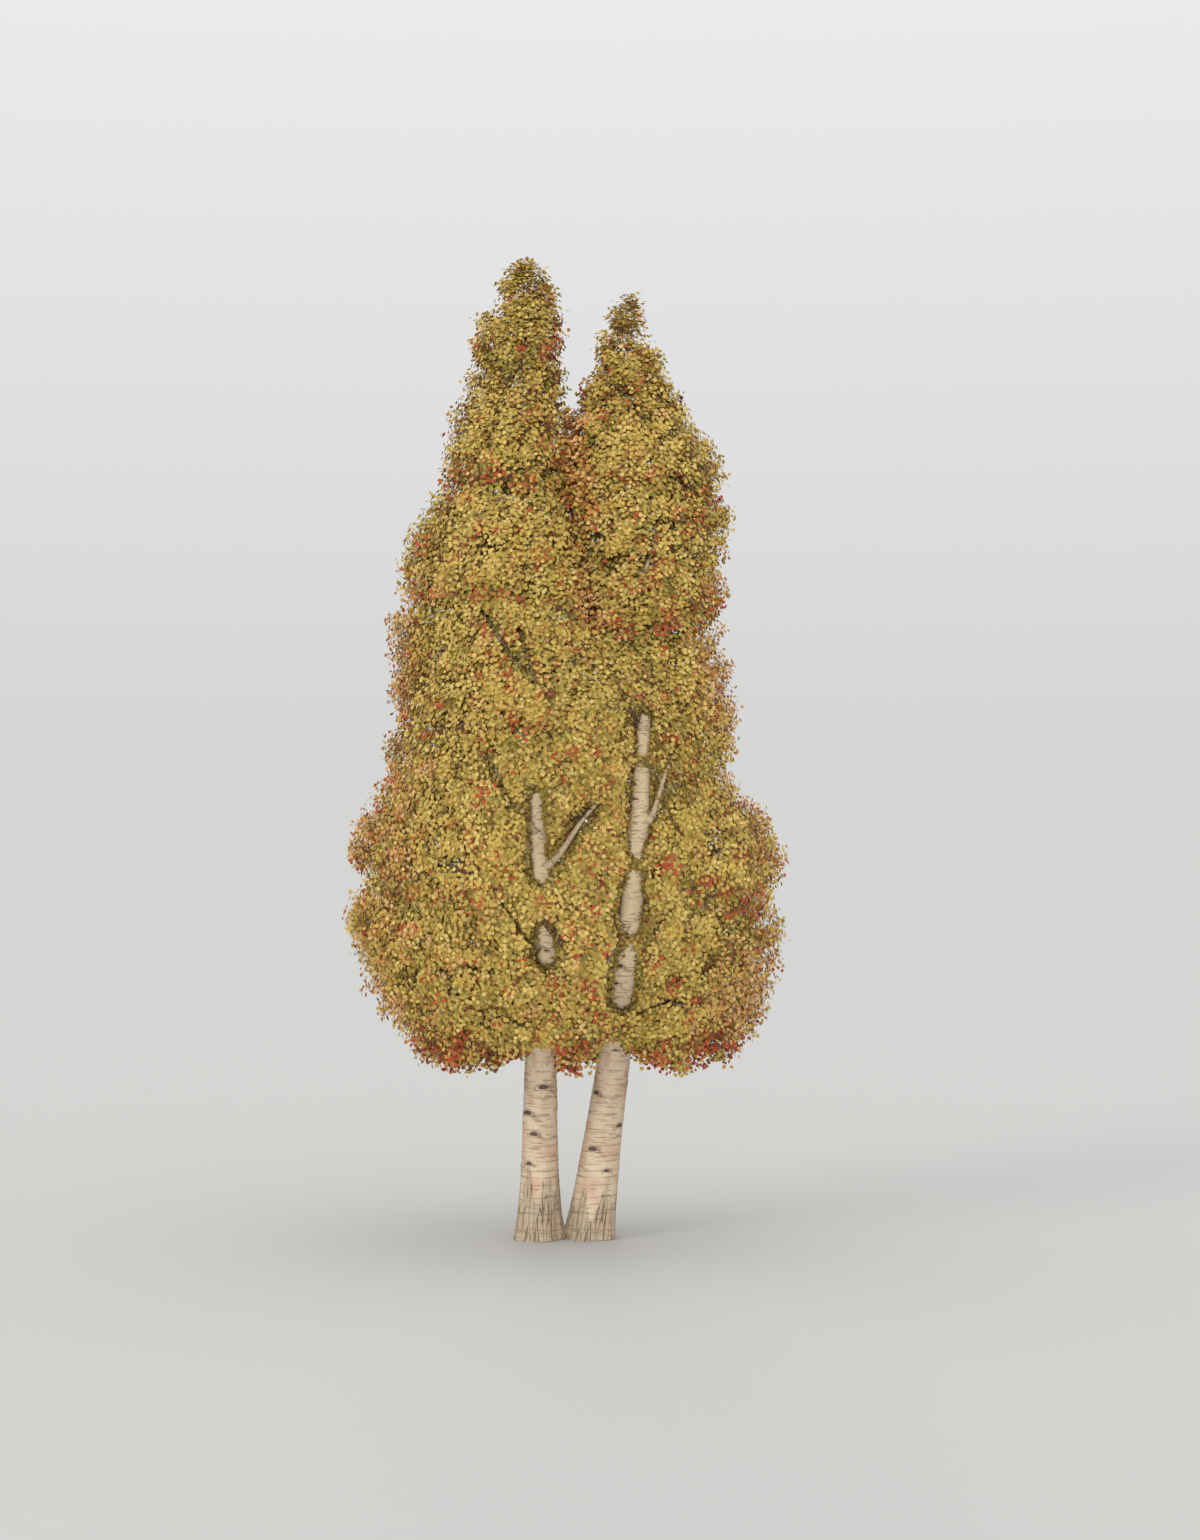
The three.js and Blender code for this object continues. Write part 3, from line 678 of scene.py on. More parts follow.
def dressed_stem(name, seed):
    """A stem's ring body with its bark's relief, in place of the plain stem."""
    made, share, bearing = ring_body(f"stem_{name}_bark", STEM_SIDES, STEM_RINGS)
    height = STEMS[name]["height"] * share * (RING_START + (1 - RING_START) * share)
    radius = stem_radius(name, height)
    eye = np.full(len(height), NO_EYE)
    brow = np.zeros(len(height))
    for turn, level, half_width, half_height in eyes_of(name, seed):
        aside = wrapped(bearing - turn) * radius
        above = height - level + EYE_ARCH * aside ** 2 / half_width
        eye = np.minimum(eye, np.hypot(aside / half_width, above / half_height))
        along_brow = (aside - BROW["at"] * half_width) / (BROW["width"] * half_width)
        shape = along_brow ** 2 + (above / half_height) ** 2
        brow = np.maximum(brow, np.exp(-shape))
    ragged = FURROWS["ragged"] * ripple(seed + 1, bearing, height, waves=9, across=7, up=.1)
    top = FURROWS["top"] * (1 + ragged)
    fade = 1 - smooth_step(height, FURROWS["full"], top)
    turning = FURROWS["wander"] * ripple(seed + 2, bearing, height, waves=10, across=5, up=1.6)
    furrow = fade ** 2 * (1 - np.abs(np.sin(FURROWS["count"] * bearing + turning)) ** 0.6)
    skin = buttress(name, height, bearing)
    uneven = ripple(seed + 3, bearing, height, waves=10, across=4, up=5.0)
    skin += WRINKLE["slow"] * uneven * radius / WRINKLE["girth"]
    skin += WRINKLE["fine"] * ripple(seed + 4, bearing, height, waves=16, across=3, up=70.0)
    skin -= FURROWS["depth"] * furrow
    rim = EYE_RIM["height"] * np.exp(-((eye - EYE_RIM["at"]) / EYE_RIM["width"]) ** 2)
    skin += rim - EYE_DENT["depth"] * np.exp(-(eye / EYE_DENT["width"]) ** 2)
    for mass in bough_masses:
        if mass["stem"] == name:
            aside = wrapped(bearing - mass["bearing"]) * radius / (COLLAR["wide"] * mass["foot_radius"])
            above = (height - mass["foot"] + COLLAR["below"]) / (COLLAR["high"] * mass["foot_radius"])
            skin += COLLAR["swell"] * mass["foot_radius"] * np.exp(-aside ** 2 - above ** 2)
    skin *= smooth_step(height, *FLAT_CUT)
    middle = stem_middle(name, height)
    reach = np.where(share < 1, radius + skin, radius)
    points = middle + np.stack((reach * np.cos(bearing), reach * np.sin(bearing), 0 * reach), axis=1)
    set_points(made, points)
    set_attribute(made, "bark_place", wound_round(bearing, height, BARK_GIRTH["stem"]))
    set_attribute(made, "eye", eye)
    set_attribute(made, "furrow", fade)
    # The young bark's share, which also carries the painted light on the stems in the openings.
    set_attribute(made, "young_and_lit", smooth_step(height, *YOUNG_AND_LIT_BARK))
    set_attribute(made, "brow", brow)
    made.data.materials.append(stem_bark)
    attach(made, "root")
    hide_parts(f"stem_{name}")
    return made


for i, name in enumerate(STEMS):
    stem_piece = dressed_stem(name, SEED + 100 * (i + 1))
    print(stem_piece.name, "faces:", len(stem_piece.data.polygons))

# %% [markdown]
# ## The boughs
# Every bough is one tapering limb on its curve, and the stem of its mass runs on from its
# tip in the same line. The ring body is bent along the curve: at each ring the curve's
# direction and two directions square to it make a small frame, and the ring is set in it.
# A slight swelling at the foot blends the bough into the stem's collar. The boughs of a
# stem are joined to one piece, because they share one bark and move together.

# %% Boughs and mass stems
LIMB_SIDES = 16
RING_STEP = 0.045                      # metres between a limb's rings
CURVE_STEPS = 200                      # fine steps by which a curve's length is measured
COARSE_STEPS = 40
# The boughs take most of the young bark's tint, which is painted light: it keeps them pale where they lie
# in shade inside the crown.
YOUNG_AND_LIT_BOUGHS = 0.9                     # how far the boughs' bark has the pale tint of young bark
OFF_UPRIGHT = 0.05                     # tilts the direction that frames the rings off the vertical
LIMB_RELIEF = {"slow": .05, "fine": .02}   # shares of the radius
BOUGH_COLLAR = {"swell": .3, "length": 2.2}   # in radii of the foot


def bent_along(curve, share, bearing, radius):
    """Moves rings onto a curve: points, and how far along the curve each one is."""
    fine = curve_points(curve, np.linspace(0, 1, CURVE_STEPS))
    lengths = np.concatenate(([0], np.cumsum(np.linalg.norm(np.diff(fine, axis=0), axis=1))))
    t = np.interp(share * lengths[-1], lengths, np.linspace(0, 1, CURVE_STEPS))
    after, before = (curve_points(curve, np.clip(t + step, 0, 1)) for step in (.01, -.01))
    ahead = unit(after - before)
    aside = unit(np.cross(UP + OFF_UPRIGHT, ahead))
    other = np.cross(ahead, aside)
    ring = aside * np.cos(bearing)[:, None] + other * np.sin(bearing)[:, None]
    return curve_points(curve, t) + ring * radius[:, None], share * lengths[-1]


def limb_piece(name, curve, foot_radius, tip_radius, seed, collar):
    """One tapering limb along a curve, with slight unevenness and a swelling at its foot."""
    coarse = curve_points(curve, np.linspace(0, 1, COARSE_STEPS))
    length = float(np.linalg.norm(np.diff(coarse, axis=0), axis=1).sum())
    made, share, bearing = ring_body(name, LIMB_SIDES, max(4, round(length / RING_STEP)))
    radius = foot_radius + (tip_radius - foot_radius) * share
    slow = ripple(seed, bearing, share * length, waves=8, across=3, up=9.0)
    fine = ripple(seed + 1, bearing, share * length, waves=8, across=2, up=60.0)
    radius *= 1 + LIMB_RELIEF["slow"] * slow
    radius *= 1 + LIMB_RELIEF["fine"] * fine
    radius *= 1 + collar * np.exp(-share * length / (BOUGH_COLLAR["length"] * foot_radius))
    points, along = bent_along(curve, share, bearing, radius)
    set_points(made, points)
    set_attribute(made, "bark_place", wound_round(bearing, along + seed % 7, BARK_GIRTH["limb"]))
    set_attribute(made, "eye", np.full(len(share), NO_EYE))
    set_attribute(made, "furrow", np.zeros(len(share)))
    # The young bark's tint, here also painted light on the shaded boughs.
    set_attribute(made, "young_and_lit", np.full(len(share), YOUNG_AND_LIT_BOUGHS))
    set_attribute(made, "brow", np.zeros(len(share)))
    return made


def join_pieces(name, pieces):
    """One object from several, under a new name."""
    with bpy.context.temp_override(active_object=pieces[0], selected_editable_objects=pieces):
        bpy.ops.object.join()
    pieces[0].name = name
    return pieces[0]


def mass_stem_curve(mass):
    start = mass["tip"] + mass["heading"] * GAP
    return limb_curve(start, mass["heading"], mass["stem_end"], mass["heading"])


def dressed_boughs(stem_name):
    """All boughs of a stem and the stems of their masses, as one piece."""
    limbs = []
    for i, mass in enumerate(masses):
        if mass["stem"] != stem_name:
            continue
        if "bough" in mass:
            limbs.append(limb_piece(f"limb_{mass['name']}", mass["bough"], mass["foot_radius"],
                                    mass["tip_radius"], SEED + i, BOUGH_COLLAR["swell"]))
        limbs.append(limb_piece(f"run_{mass['name']}", mass_stem_curve(mass), mass["tip_radius"],
                                mass["tip_radius"] * MASS_STEM["taper"], SEED + i + 50, 0.0))
    made = join_pieces(f"boughs_{stem_name}_bark", limbs)
    made.data.materials.append(bough_bark)
    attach(made, "root")
    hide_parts(*[f"bough_{mass['name']}" for mass in bough_masses if mass["stem"] == stem_name])
    return made


for name in STEMS:
    bough_piece = dressed_boughs(name)
    print(bough_piece.name, "faces:", len(bough_piece.data.polygons))

# %% [markdown]
# ## Which space belongs to a mass
# Each mass keeps to its own space, so that the crown reads as many masses and not as one
# cloud. They fan upwards and outwards like the barbs of a feather, steeper high up. To
# test that with simple sums, every point is first lowered by how far out it lies: then
# the masses lie level, and a point belongs to the mass whose heart is nearest. How far it
# is from the border to the nearest neighbour is kept as well: along the borders run the
# grooves between the masses, with painted shade in their darker tints, and the autumn reds
# with more painted shade on their undersides.

# %% Space tests
STEM_POINTS = 31                       # points on a stem's line for the tests, and on a bough's
BOUGH_POINTS = 7


def lowered(points):
    """Points lowered by how far out they lie, so that what rises outwards becomes level."""
    off = []
    for name in STEMS:
        middle = crown_middle(name, points[:, 2])
        off.append(np.hypot(points[:, 0] - middle[:, 0], points[:, 1] - middle[:, 1]))
    slope = np.interp(points[:, 2], SLOPE["heights"], SLOPE["slopes"])
    return points - UP * (slope * np.minimum(*off))[:, None]


hearts = lowered(np.array([mass["middle"] for mass in masses]))


def border_of(index, points):
    """Distance to the nearest neighbour's border, and how far that neighbour is below."""
    off = lowered(points) - hearts[index]
    between = np.delete(hearts, index, axis=0) - hearts[index]
    distance = np.linalg.norm(between, axis=1)
    room = (distance - MASS_GAP) / 2 - off @ (between / distance[:, None]).T
    nearest = np.argmin(room, axis=1)
    return room[np.arange(len(points)), nearest], -between[nearest, 2] / distance[nearest]


def reach_in(index, points):
    """0 in the heart of a mass and 1 on its rounded bounds."""
    off = (lowered(points) - hearts[index]) @ masses[index]["axes"].T
    return np.sqrt(((off / masses[index]["sizes"]) ** 2).sum(axis=1))


def in_space(index, points, swell=1.0):
    inside = (reach_in(index, points) < swell) & (crown_depth(points) > 0)
    return inside & (border_of(index, points)[0] > 0)


def limb_segments():
    """All stems and boughs as short straight pieces: start, end, and a radius at each."""
    rows = []
    for name, stem in STEMS.items():
        heights = np.linspace(0, stem["height"], STEM_POINTS)
        line = stem_middle(name, heights)
        radii = stem_radius(name, heights)
        rows.append((line[:-1], line[1:], radii[:-1], radii[1:]))
    for mass in bough_masses:
        line = curve_points(mass["bough"], np.linspace(0, 1, BOUGH_POINTS))
        radii = np.linspace(mass["foot_radius"], mass["tip_radius"], BOUGH_POINTS)
        rows.append((line[:-1], line[1:], radii[:-1], radii[1:]))
    return [np.concatenate(column) for column in zip(*rows)]


segments = limb_segments()


def clear_of_limbs(points, clearance):
    """Whether points keep off the bark of every stem and bough."""
    start, end, first, last = segments
    run = end - start
    off = points[:, None] - start
    t = np.clip((off * run).sum(axis=2) / (run * run).sum(axis=1), 0, 1)
    gap = np.linalg.norm(off - run * t[..., None], axis=2)
    return (gap > first + (last - first) * t + clearance).all(axis=1)


print("limb segments:", len(segments[0]))

# %% [markdown]
# ## Main twigs
# In every mass the twigs fan out from its stem to points spread over the crown's outside.
# Turning each one by the golden angle from the last spreads them evenly without a
# pattern. The rule and the seeds are the construction's, so these twigs lie where its
# solid twigs do; those that would touch a limb are left out, as there.

# %% The fan of twigs
GOLDEN_ANGLE = math.pi * (3 - math.sqrt(5))
WORD = 0xFFFFFFFF
TWIG_SEARCH = {"from": 2.4, "to": .25, "step": .05}   # where a twig's end is looked for
TWIG_TESTS = 7                         # points of a twig that are tested


def first_draw(seed):
    """The first number from 0 to 1 of the construction's seeded draws."""
    state = (seed + 0x6D2B79F5) & WORD
    t = ((state ^ (state >> 15)) * (1 | state)) & WORD
    t ^= (t + (((t ^ (t >> 7)) * (61 | t)) & WORD)) & WORD
    return ((t ^ (t >> 14)) & WORD) / 2 ** 32


def square_to(axis):
    return unit(np.cross(axis, UP if abs(axis[2]) < 0.9 else np.array([1.0, 0, 0])))


def fan_directions(mass, turn):
    """Directions spread evenly over the cap that a mass's twigs fan out in."""
    i = np.arange(mass["twigs"])
    rise = 1 - (1 - math.cos(math.radians(FAN["spread"]))) * (i + 0.5) / mass["twigs"]
    angle = i * GOLDEN_ANGLE + turn
    first = square_to(mass["fan"])
    second = np.cross(mass["fan"], first)
    side = np.cos(angle)[:, None] * first + np.sin(angle)[:, None] * second
    return rise[:, None] * mass["fan"] + np.sqrt(1 - rise ** 2)[:, None] * side


def main_twigs(index):
    """Foot and end of each main twig of a mass."""
    mass = masses[index]
    directions = fan_directions(mass, first_draw(SEED + index) * math.tau)
    stem_curve = mass_stem_curve(mass)
    twigs = []
    for i, direction in enumerate(directions):
        start = TWIG_SEARCH["from"] * max(mass["sizes"])
        distances = np.arange(start, TWIG_SEARCH["to"], -TWIG_SEARCH["step"])
        inside = in_space(index, mass["tip"] + direction * distances[:, None])
        if not inside.any():
            continue
        end = mass["tip"] + direction * distances[np.argmax(inside)] * TWIGS["reach"]
        share = TWIG_FEET["last"] + (TWIG_FEET["first"] - TWIG_FEET["last"]) * i / mass["twigs"]
        foot = curve_points(stem_curve, share)
        path = foot + (end - foot) * np.linspace(0, 1, TWIG_TESTS)[1:, None]
        if (in_space(index, path) & clear_of_limbs(path, LIMB_CLEARANCE)).all():
            twigs.append((foot, end))
    return twigs


twigs_of = [main_twigs(index) for index in range(len(masses))]
print("main twigs:", sum(len(twigs) for twigs in twigs_of))

# %% [markdown]
# ## Where the sprays of leaves grow
# A spray is a hand's length of the finest twig with its leaves. Scattering sprays evenly
# through the crown would waste most of them deep inside, where nobody sees them. They are
# sown at random through each mass's space instead, more thickly in the small masses
# higher up, and kept by rule: most in the outer half metre, fewer further in. Between two
# twig ends the foliage draws back a little, and along the border to a neighbour it draws
# back more, which gives the crown its lumps and grooves. The grooves fade out towards the
# two tops, which thin out at their ends and have small loose clumps round them, each on
# its own crown's side. In front of the limbs some openings are left, where the pale bark
# shows. They widen outwards like a window in a thick wall, and their sides are leafy too.

# %% Sowing sprays
SPRAY_DENSITY = (228, 235, 262, 290, 300)   # sown for each cubic metre, tier by tier
SHELL = ((0, .03, .34, .66, 1.1), (.7, 1, 1, .18, .02))
BETWEEN_TWIGS = {"near": .25, "far": .75, "draw": .13}
GROOVE = {"width": .16, "draw": .27, "fades": (10.2, 11.7)}
SWELL = 1.5                            # how far sprays may pass a mass's rounded bounds
LOOSE_TOP = {"left": (12.9, 13.65), "right": (12.5, 13.2)}   # heights over which a top thins
UNEVEN = (.8, 1.2)                     # how unevenly the sprays draw back
CLUMPS = {"count": 50, "below": 1.8, "off": (.6, .98), "sprays": 6, "size": .042,
          "apart": .3, "apart_from": 12.2}
LEAF_ROOM = 0.05                       # from the bark of a limb to the middle of a spray
SPRAY_MARGIN = 0.06                    # how far a spray's place may pass the construction's box

# Openings in the foliage in front of the limbs: along a stem heights and half-widths,
# along a bough from which share of its length to which, its half-width and its spread:
# how much an opening widens towards the front, so that light falls in on the bark.
STEM_OPENINGS = {
    "left": (((2.1, .16), (2.56, .13)), ((4.02, .09), (4.36, .06)),
             ((5.23, .1), (5.83, .08), (6.3, .06))),
    "right": (((2.1, .2), (2.56, .16)), ((3.42, .13), (4.0, .1)), ((4.48, .13), (4.85, .13), (5.18, .06)),
              ((5.5, .06), (5.8, .12), (6.62, .13)), ((6.98, .07), (7.41, .1))),
}
BOUGH_OPENINGS = {
    "left_16": (.08, 1.15, .06, .08), "left_03": (.3, 1.0, .02, .012), "left_07": (.2, 1.0, .02, .014),
    "left_09": (.25, 1.0, .02, .02), "left_12": (.1, 1.0, .02, .03), "left_13": (.1, .9, .02, .03),
    "right_02": (.3, 1.0, .02, .012), "right_04": (.15, .9, .02, .014), "right_07": (.1, 1.0, .03, .045),
    "right_09": (.1, 1.0, .02, .02), "right_11": (.1, 1.0, .02, .03),
}
STEM_SPREAD = 0.065
OPENING_STEPS = 7


def openings_in_front():
    """Chains of points with their half-widths, and how much each chain widens."""
    chains = []
    for name, rows in STEM_OPENINGS.items():
        for row in rows:
            heights, widths = np.array(row).T
            chains.append((stem_middle(name, heights), widths, STEM_SPREAD))
    for mass in bough_masses:
        if mass["name"] in BOUGH_OPENINGS:
            first, last, width, spread = BOUGH_OPENINGS[mass["name"]]
            line = curve_points(mass["bough"], np.linspace(first, last, OPENING_STEPS))
            chains.append((line, np.full(OPENING_STEPS, width), spread))
    return chains


openings = openings_in_front()


def seen_from_front(points):
    """Where points stand in the stems' plane when looked at through the camera."""
    share = CAMERA_DISTANCE / (CAMERA_DISTANCE + points[:, 1])
    return np.stack((VIEW_MIDDLE[0] + (points[:, 0] - VIEW_MIDDLE[0]) * share,
                     VIEW_MIDDLE[1] + (points[:, 2] - VIEW_MIDDLE[1]) * share), axis=1)


def beside_openings(points):
    """How far points lie beside the nearest opening; less than nothing is inside it."""
    seen = seen_from_front(points)
    beside = np.full(len(points), FAR)
    for line, widths, spread in openings:
        line_seen = seen_from_front(line)
        for k in range(len(line) - 1):
            run = line_seen[k + 1] - line_seen[k]
            off = seen - line_seen[k]
            t = np.clip(off @ run / (run @ run), 0, 1)
            before = line[k, 1] + (line[k + 1, 1] - line[k, 1]) * t - points[:, 1]
            width = widths[k] + (widths[k + 1] - widths[k]) * t + spread * before
            gap = np.linalg.norm(off - run * t[:, None], axis=1) - width
            beside = np.where(before > 0, np.minimum(beside, gap), beside)
    return beside


def loose_clumps(mass, draw):
    """Small clumps of sprays that stand loose round a leader's top."""
    name = mass["stem"]
    height = crown_top(name) - draw.uniform(.06, CLUMPS["below"], CLUMPS["count"])
    off = crown_radius(name, height) * draw.uniform(*CLUMPS["off"], CLUMPS["count"])
    bearing = draw.uniform(0, math.tau, CLUMPS["count"])
    centres = crown_middle(name, height)
    centres += np.stack((off * np.cos(bearing), off * np.sin(bearing), height - centres[:, 2]), axis=1)
    neighbour = next(other for other in STEMS if other != name)
    to_own = np.abs(centres[:, 0] - crown_middle(name, height)[:, 0])
    to_neighbour = np.abs(centres[:, 0] - crown_middle(neighbour, height)[:, 0])
    apart = np.where(height > CLUMPS["apart_from"], CLUMPS["apart"], 0)
    centres = centres[to_neighbour - to_own > apart]
    points = np.repeat(centres, CLUMPS["sprays"], axis=0)
    return points + draw.normal(0, CLUMPS["size"], points.shape)


def in_box(points, margin):
    """Whether points pass the construction's box by no more than a margin."""
    low, high = np.array(cad_bounds)
    return ((points > low - margin) & (points < high + margin)).all(axis=-1)


def sprays_of(index, draw):
    """Places of a mass's sprays, with what the tints need to know about each."""
    mass = masses[index]
    box = 2 * SWELL * mass["sizes"] + UP
    local = draw.uniform(-.5, .5, (int(SPRAY_DENSITY[mass["group"] - 1] * np.prod(box)), 3)) * box
    points = mass["middle"] + local @ mass["axes"]
    points = points[in_space(index, points, SWELL) & in_box(points, SPRAY_MARGIN)]
    depth = crown_depth(points)
    border, _ = border_of(index, points)
    ends = np.array([end for _, end in twigs_of[index]] + [mass["stem_end"]])
    apart = np.linalg.norm(points[:, None] - ends, axis=2).min(axis=1)
    drawn_back = BETWEEN_TWIGS["draw"] * smooth_step(apart, BETWEEN_TWIGS["near"], BETWEEN_TWIGS["far"])
    groove = GROOVE["draw"] * (1 - smooth_step(points[:, 2], *GROOVE["fades"]))
    drawn_back += groove * np.exp(-(border / GROOVE["width"]) ** 2)
    drawn_back *= draw.uniform(*UNEVEN, len(points))
    under = np.minimum(depth - drawn_back, beside_openings(points))
    keep = (under > 0) & (draw.random(len(points)) < np.interp(under, *SHELL))
    keep &= draw.random(len(points)) > smooth_step(points[:, 2], *LOOSE_TOP[mass["stem"]])
    points = points[keep & clear_of_limbs(points, LEAF_ROOM)]
    if "bough" not in mass:
        points = np.concatenate((points, loose_clumps(mass, draw)))
    border, neighbour_below = border_of(index, points)
    return points, np.stack((crown_depth(points), border, neighbour_below), axis=1)


draw = np.random.default_rng(SEED)
sown = [sprays_of(index, draw) for index in range(len(masses))]
print("sprays sown:", sum(len(points) for points, _ in sown))

# %% [markdown]
# ## Branching down to the finest twigs
# Each spray hangs on a side twig, and each side twig on the nearest main twig. Sprays
# that lie near each other are gathered into small groups, and every group gets a side
# twig from a point a little nearer the foot, as growth always runs outwards. It bends on
# its way. Modelling thousands of twigs one by one would take hours, so all of a kind are
# built in one step as joined tubes, from arrays of their points: five-sided main twigs,
# three-sided side twigs, and for the finest twigs long three-sided points.

# %% Growing the side twigs
SPRAYS_A_SIDE_TWIG = 7
GROUPING_ROUNDS = 4
SIDE_TWIG = {"back": .28, "feet": (.06, .97), "reach": .92, "bend": .05, "foot": .0085, "tip": .004}
SPRAY_TWIG = {"foot": .0042, "back": .10, "past": .05}


def nearest_on(points, starts, ends):
    """The nearest of several straight lines to each point, and where on it."""
    run = ends - starts
    off = points[:, None] - starts
    t = np.clip((off * run).sum(axis=2) / (run * run).sum(axis=1), 0, 1)
    gap = np.linalg.norm(off - run * t[..., None], axis=2)
    line = gap.argmin(axis=1)
    return line, t[np.arange(len(points)), line]


def grouped(points, count, draw):
    """Gathers points into groups of neighbours, and returns each point's group."""
    centres = points[draw.choice(len(points), count, replace=False)]
    for _ in range(GROUPING_ROUNDS):
        group = np.linalg.norm(points[:, None] - centres, axis=2).argmin(axis=1)
        for i in range(count):
            if (group == i).any():
                centres[i] = points[group == i].mean(axis=0)
    return group, centres


def grow_mass(index, draw):
    """A mass's main twigs, side twigs and spray twigs, as paths with radii."""
    mass = masses[index]
    points, _ = sown[index]
    lines = twigs_of[index] + [(mass["tip"], mass["stem_end"])]
    starts, ends = (np.array(column) for column in zip(*lines))
    line, share = nearest_on(points, starts, ends)
    side_paths, spray_feet = [], np.zeros_like(points)
    for i in range(len(lines)):
        on_line = np.flatnonzero(line == i)
        if len(on_line) == 0:
            continue
        count = max(1, len(on_line) // SPRAYS_A_SIDE_TWIG)
        group, centres = grouped(points[on_line], count, draw)
        length = np.linalg.norm(ends[i] - starts[i])
        for k in range(count):
            members = on_line[group == k]
            if len(members) == 0:
                continue
            t = np.clip(share[members].mean() - SIDE_TWIG["back"] / length, *SIDE_TWIG["feet"])
            foot = starts[i] + (ends[i] - starts[i]) * t
            tip = foot + (centres[k] - foot) * SIDE_TWIG["reach"]
            bend = draw.normal(0, SIDE_TWIG["bend"], 3) + UP * SIDE_TWIG["bend"]
            path = np.array([foot, (foot + tip) / 2 + bend, tip])
            side_paths.append(path)
            _, along = nearest_on(points[members], path[None, 1], path[None, 2])
            room = np.linalg.norm(path[2] - path[1]) + SPRAY_TWIG["past"]
            along = np.clip(along - SPRAY_TWIG["back"] / room, 0, 1)
            spray_feet[members] = path[1] + (path[2] - path[1]) * along[:, None]
    return np.array(side_paths), spray_feet


grown = [grow_mass(index, draw) for index in range(len(masses))]
print("side twigs:", sum(len(paths) for paths, _ in grown))

# %% [markdown]
# ## Joined tubes from arrays
# A tube round a path needs a ring of points at each step and faces between the rings.
# For thousands of paths with the same number of steps, one array holds them all, and the
# face numbers follow a pattern. The helper below writes such arrays straight into a mesh.
# A twig that would cross an opening, or the open air between the tops, is left out.

# %% Tubes for the twigs
def joined_mesh(name, points, face_groups):
    """An object from arrays: points, and groups of faces with the same corner count."""
    corners = np.concatenate([faces.ravel() for faces in face_groups]).astype(np.int32)
    sizes = np.concatenate([np.full(len(faces), faces.shape[1]) for faces in face_groups])
    starts = np.concatenate(([0], np.cumsum(sizes)[:-1])).astype(np.int32)
    mesh = bpy.data.meshes.new(name)
    mesh.vertices.add(len(points))
    mesh.vertices.foreach_set("co", points.astype(np.float32).ravel())
    mesh.loops.add(len(corners))
    mesh.loops.foreach_set("vertex_index", corners)
    mesh.polygons.add(len(sizes))
    mesh.polygons.foreach_set("loop_start", starts)
    mesh.update(calc_edges=True)
    made = bpy.data.objects.new(name, mesh)
    bpy.context.scene.collection.objects.link(made)
    return made


ODD_AXIS = np.array([.31, .17, .93])   # a direction that no twig runs in


def across_of(ahead):
    """Two directions square to each of many."""
    aside = unit(np.cross(ODD_AXIS, ahead))
    return aside, np.cross(ahead, aside)


def tubes(paths, radii, sides):
    """Closed tubes round many paths: points, side faces and end faces."""
    count, steps, _ = paths.shape
    ahead = unit(np.gradient(paths, axis=1))
    aside, other = across_of(ahead)
    angle = math.tau * np.arange(sides) / sides
    ring = aside[:, :, None] * np.cos(angle)[:, None] + other[:, :, None] * np.sin(angle)[:, None]
    points = paths[:, :, None] + ring * radii[:, :, None, None]
    base = (np.arange(count) * steps * sides)[:, None, None]
    row = (np.arange(steps - 1) * sides)[None, :, None]
    a = np.arange(sides)[None, None, :]
    b = (a + 1) % sides
    low = base + row
    walls = np.stack((low + a, low + b, low + sides + b, low + sides + a), axis=-1)
    first = base[:, 0] + np.arange(sides)[::-1]
    last = base[:, 0] + (steps - 1) * sides + np.arange(sides)
    return points.reshape(-1, 3), walls.reshape(-1, 4), np.concatenate((first, last))


def twig_points(feet, tips, radius):
    """Long three-sided points: four vertices and four faces each."""
    ahead = unit(tips - feet)
    aside, other = across_of(ahead)
    angle = math.tau * np.arange(3) / 3
    ring = aside[:, None] * np.cos(angle)[:, None] + other[:, None] * np.sin(angle)[:, None]
    points = np.concatenate((feet[:, None] + ring * radius, tips[:, None]), axis=1)
    faces = np.array([(0, 1, 3), (1, 2, 3), (2, 0, 3), (2, 1, 0)])
    return points.reshape(-1, 3), (np.arange(len(feet))[:, None, None] * 4 + faces).reshape(-1, 3)


TWIG_STEPS = 5
TWIG_SAG = 0.035                       # a main twig's bow, as a share of its length
OPEN_AIR = -0.03                       # how far past the crown's surface a twig's middle may lie


def bowed(foot, end):
    """A main twig's path, bowed a little so that its end turns up."""
    t = np.linspace(0, 1, TWIG_STEPS)[:, None]
    length = np.linalg.norm(end - foot)
    return foot + (end - foot) * t - UP * TWIG_SAG * length * 4 * t * (1 - t)


twig_wood = plain_material("twig_wood", (.30, .235, .17), 0.8)
fine_wood = plain_material("fine_wood", (.20, .125, .075), 0.8)


def in_leaf(points):
    """Whether points lie in the foliage, and neither in an opening nor in the open air."""
    return (beside_openings(points) > 0) & (crown_depth(points) > OPEN_AIR)


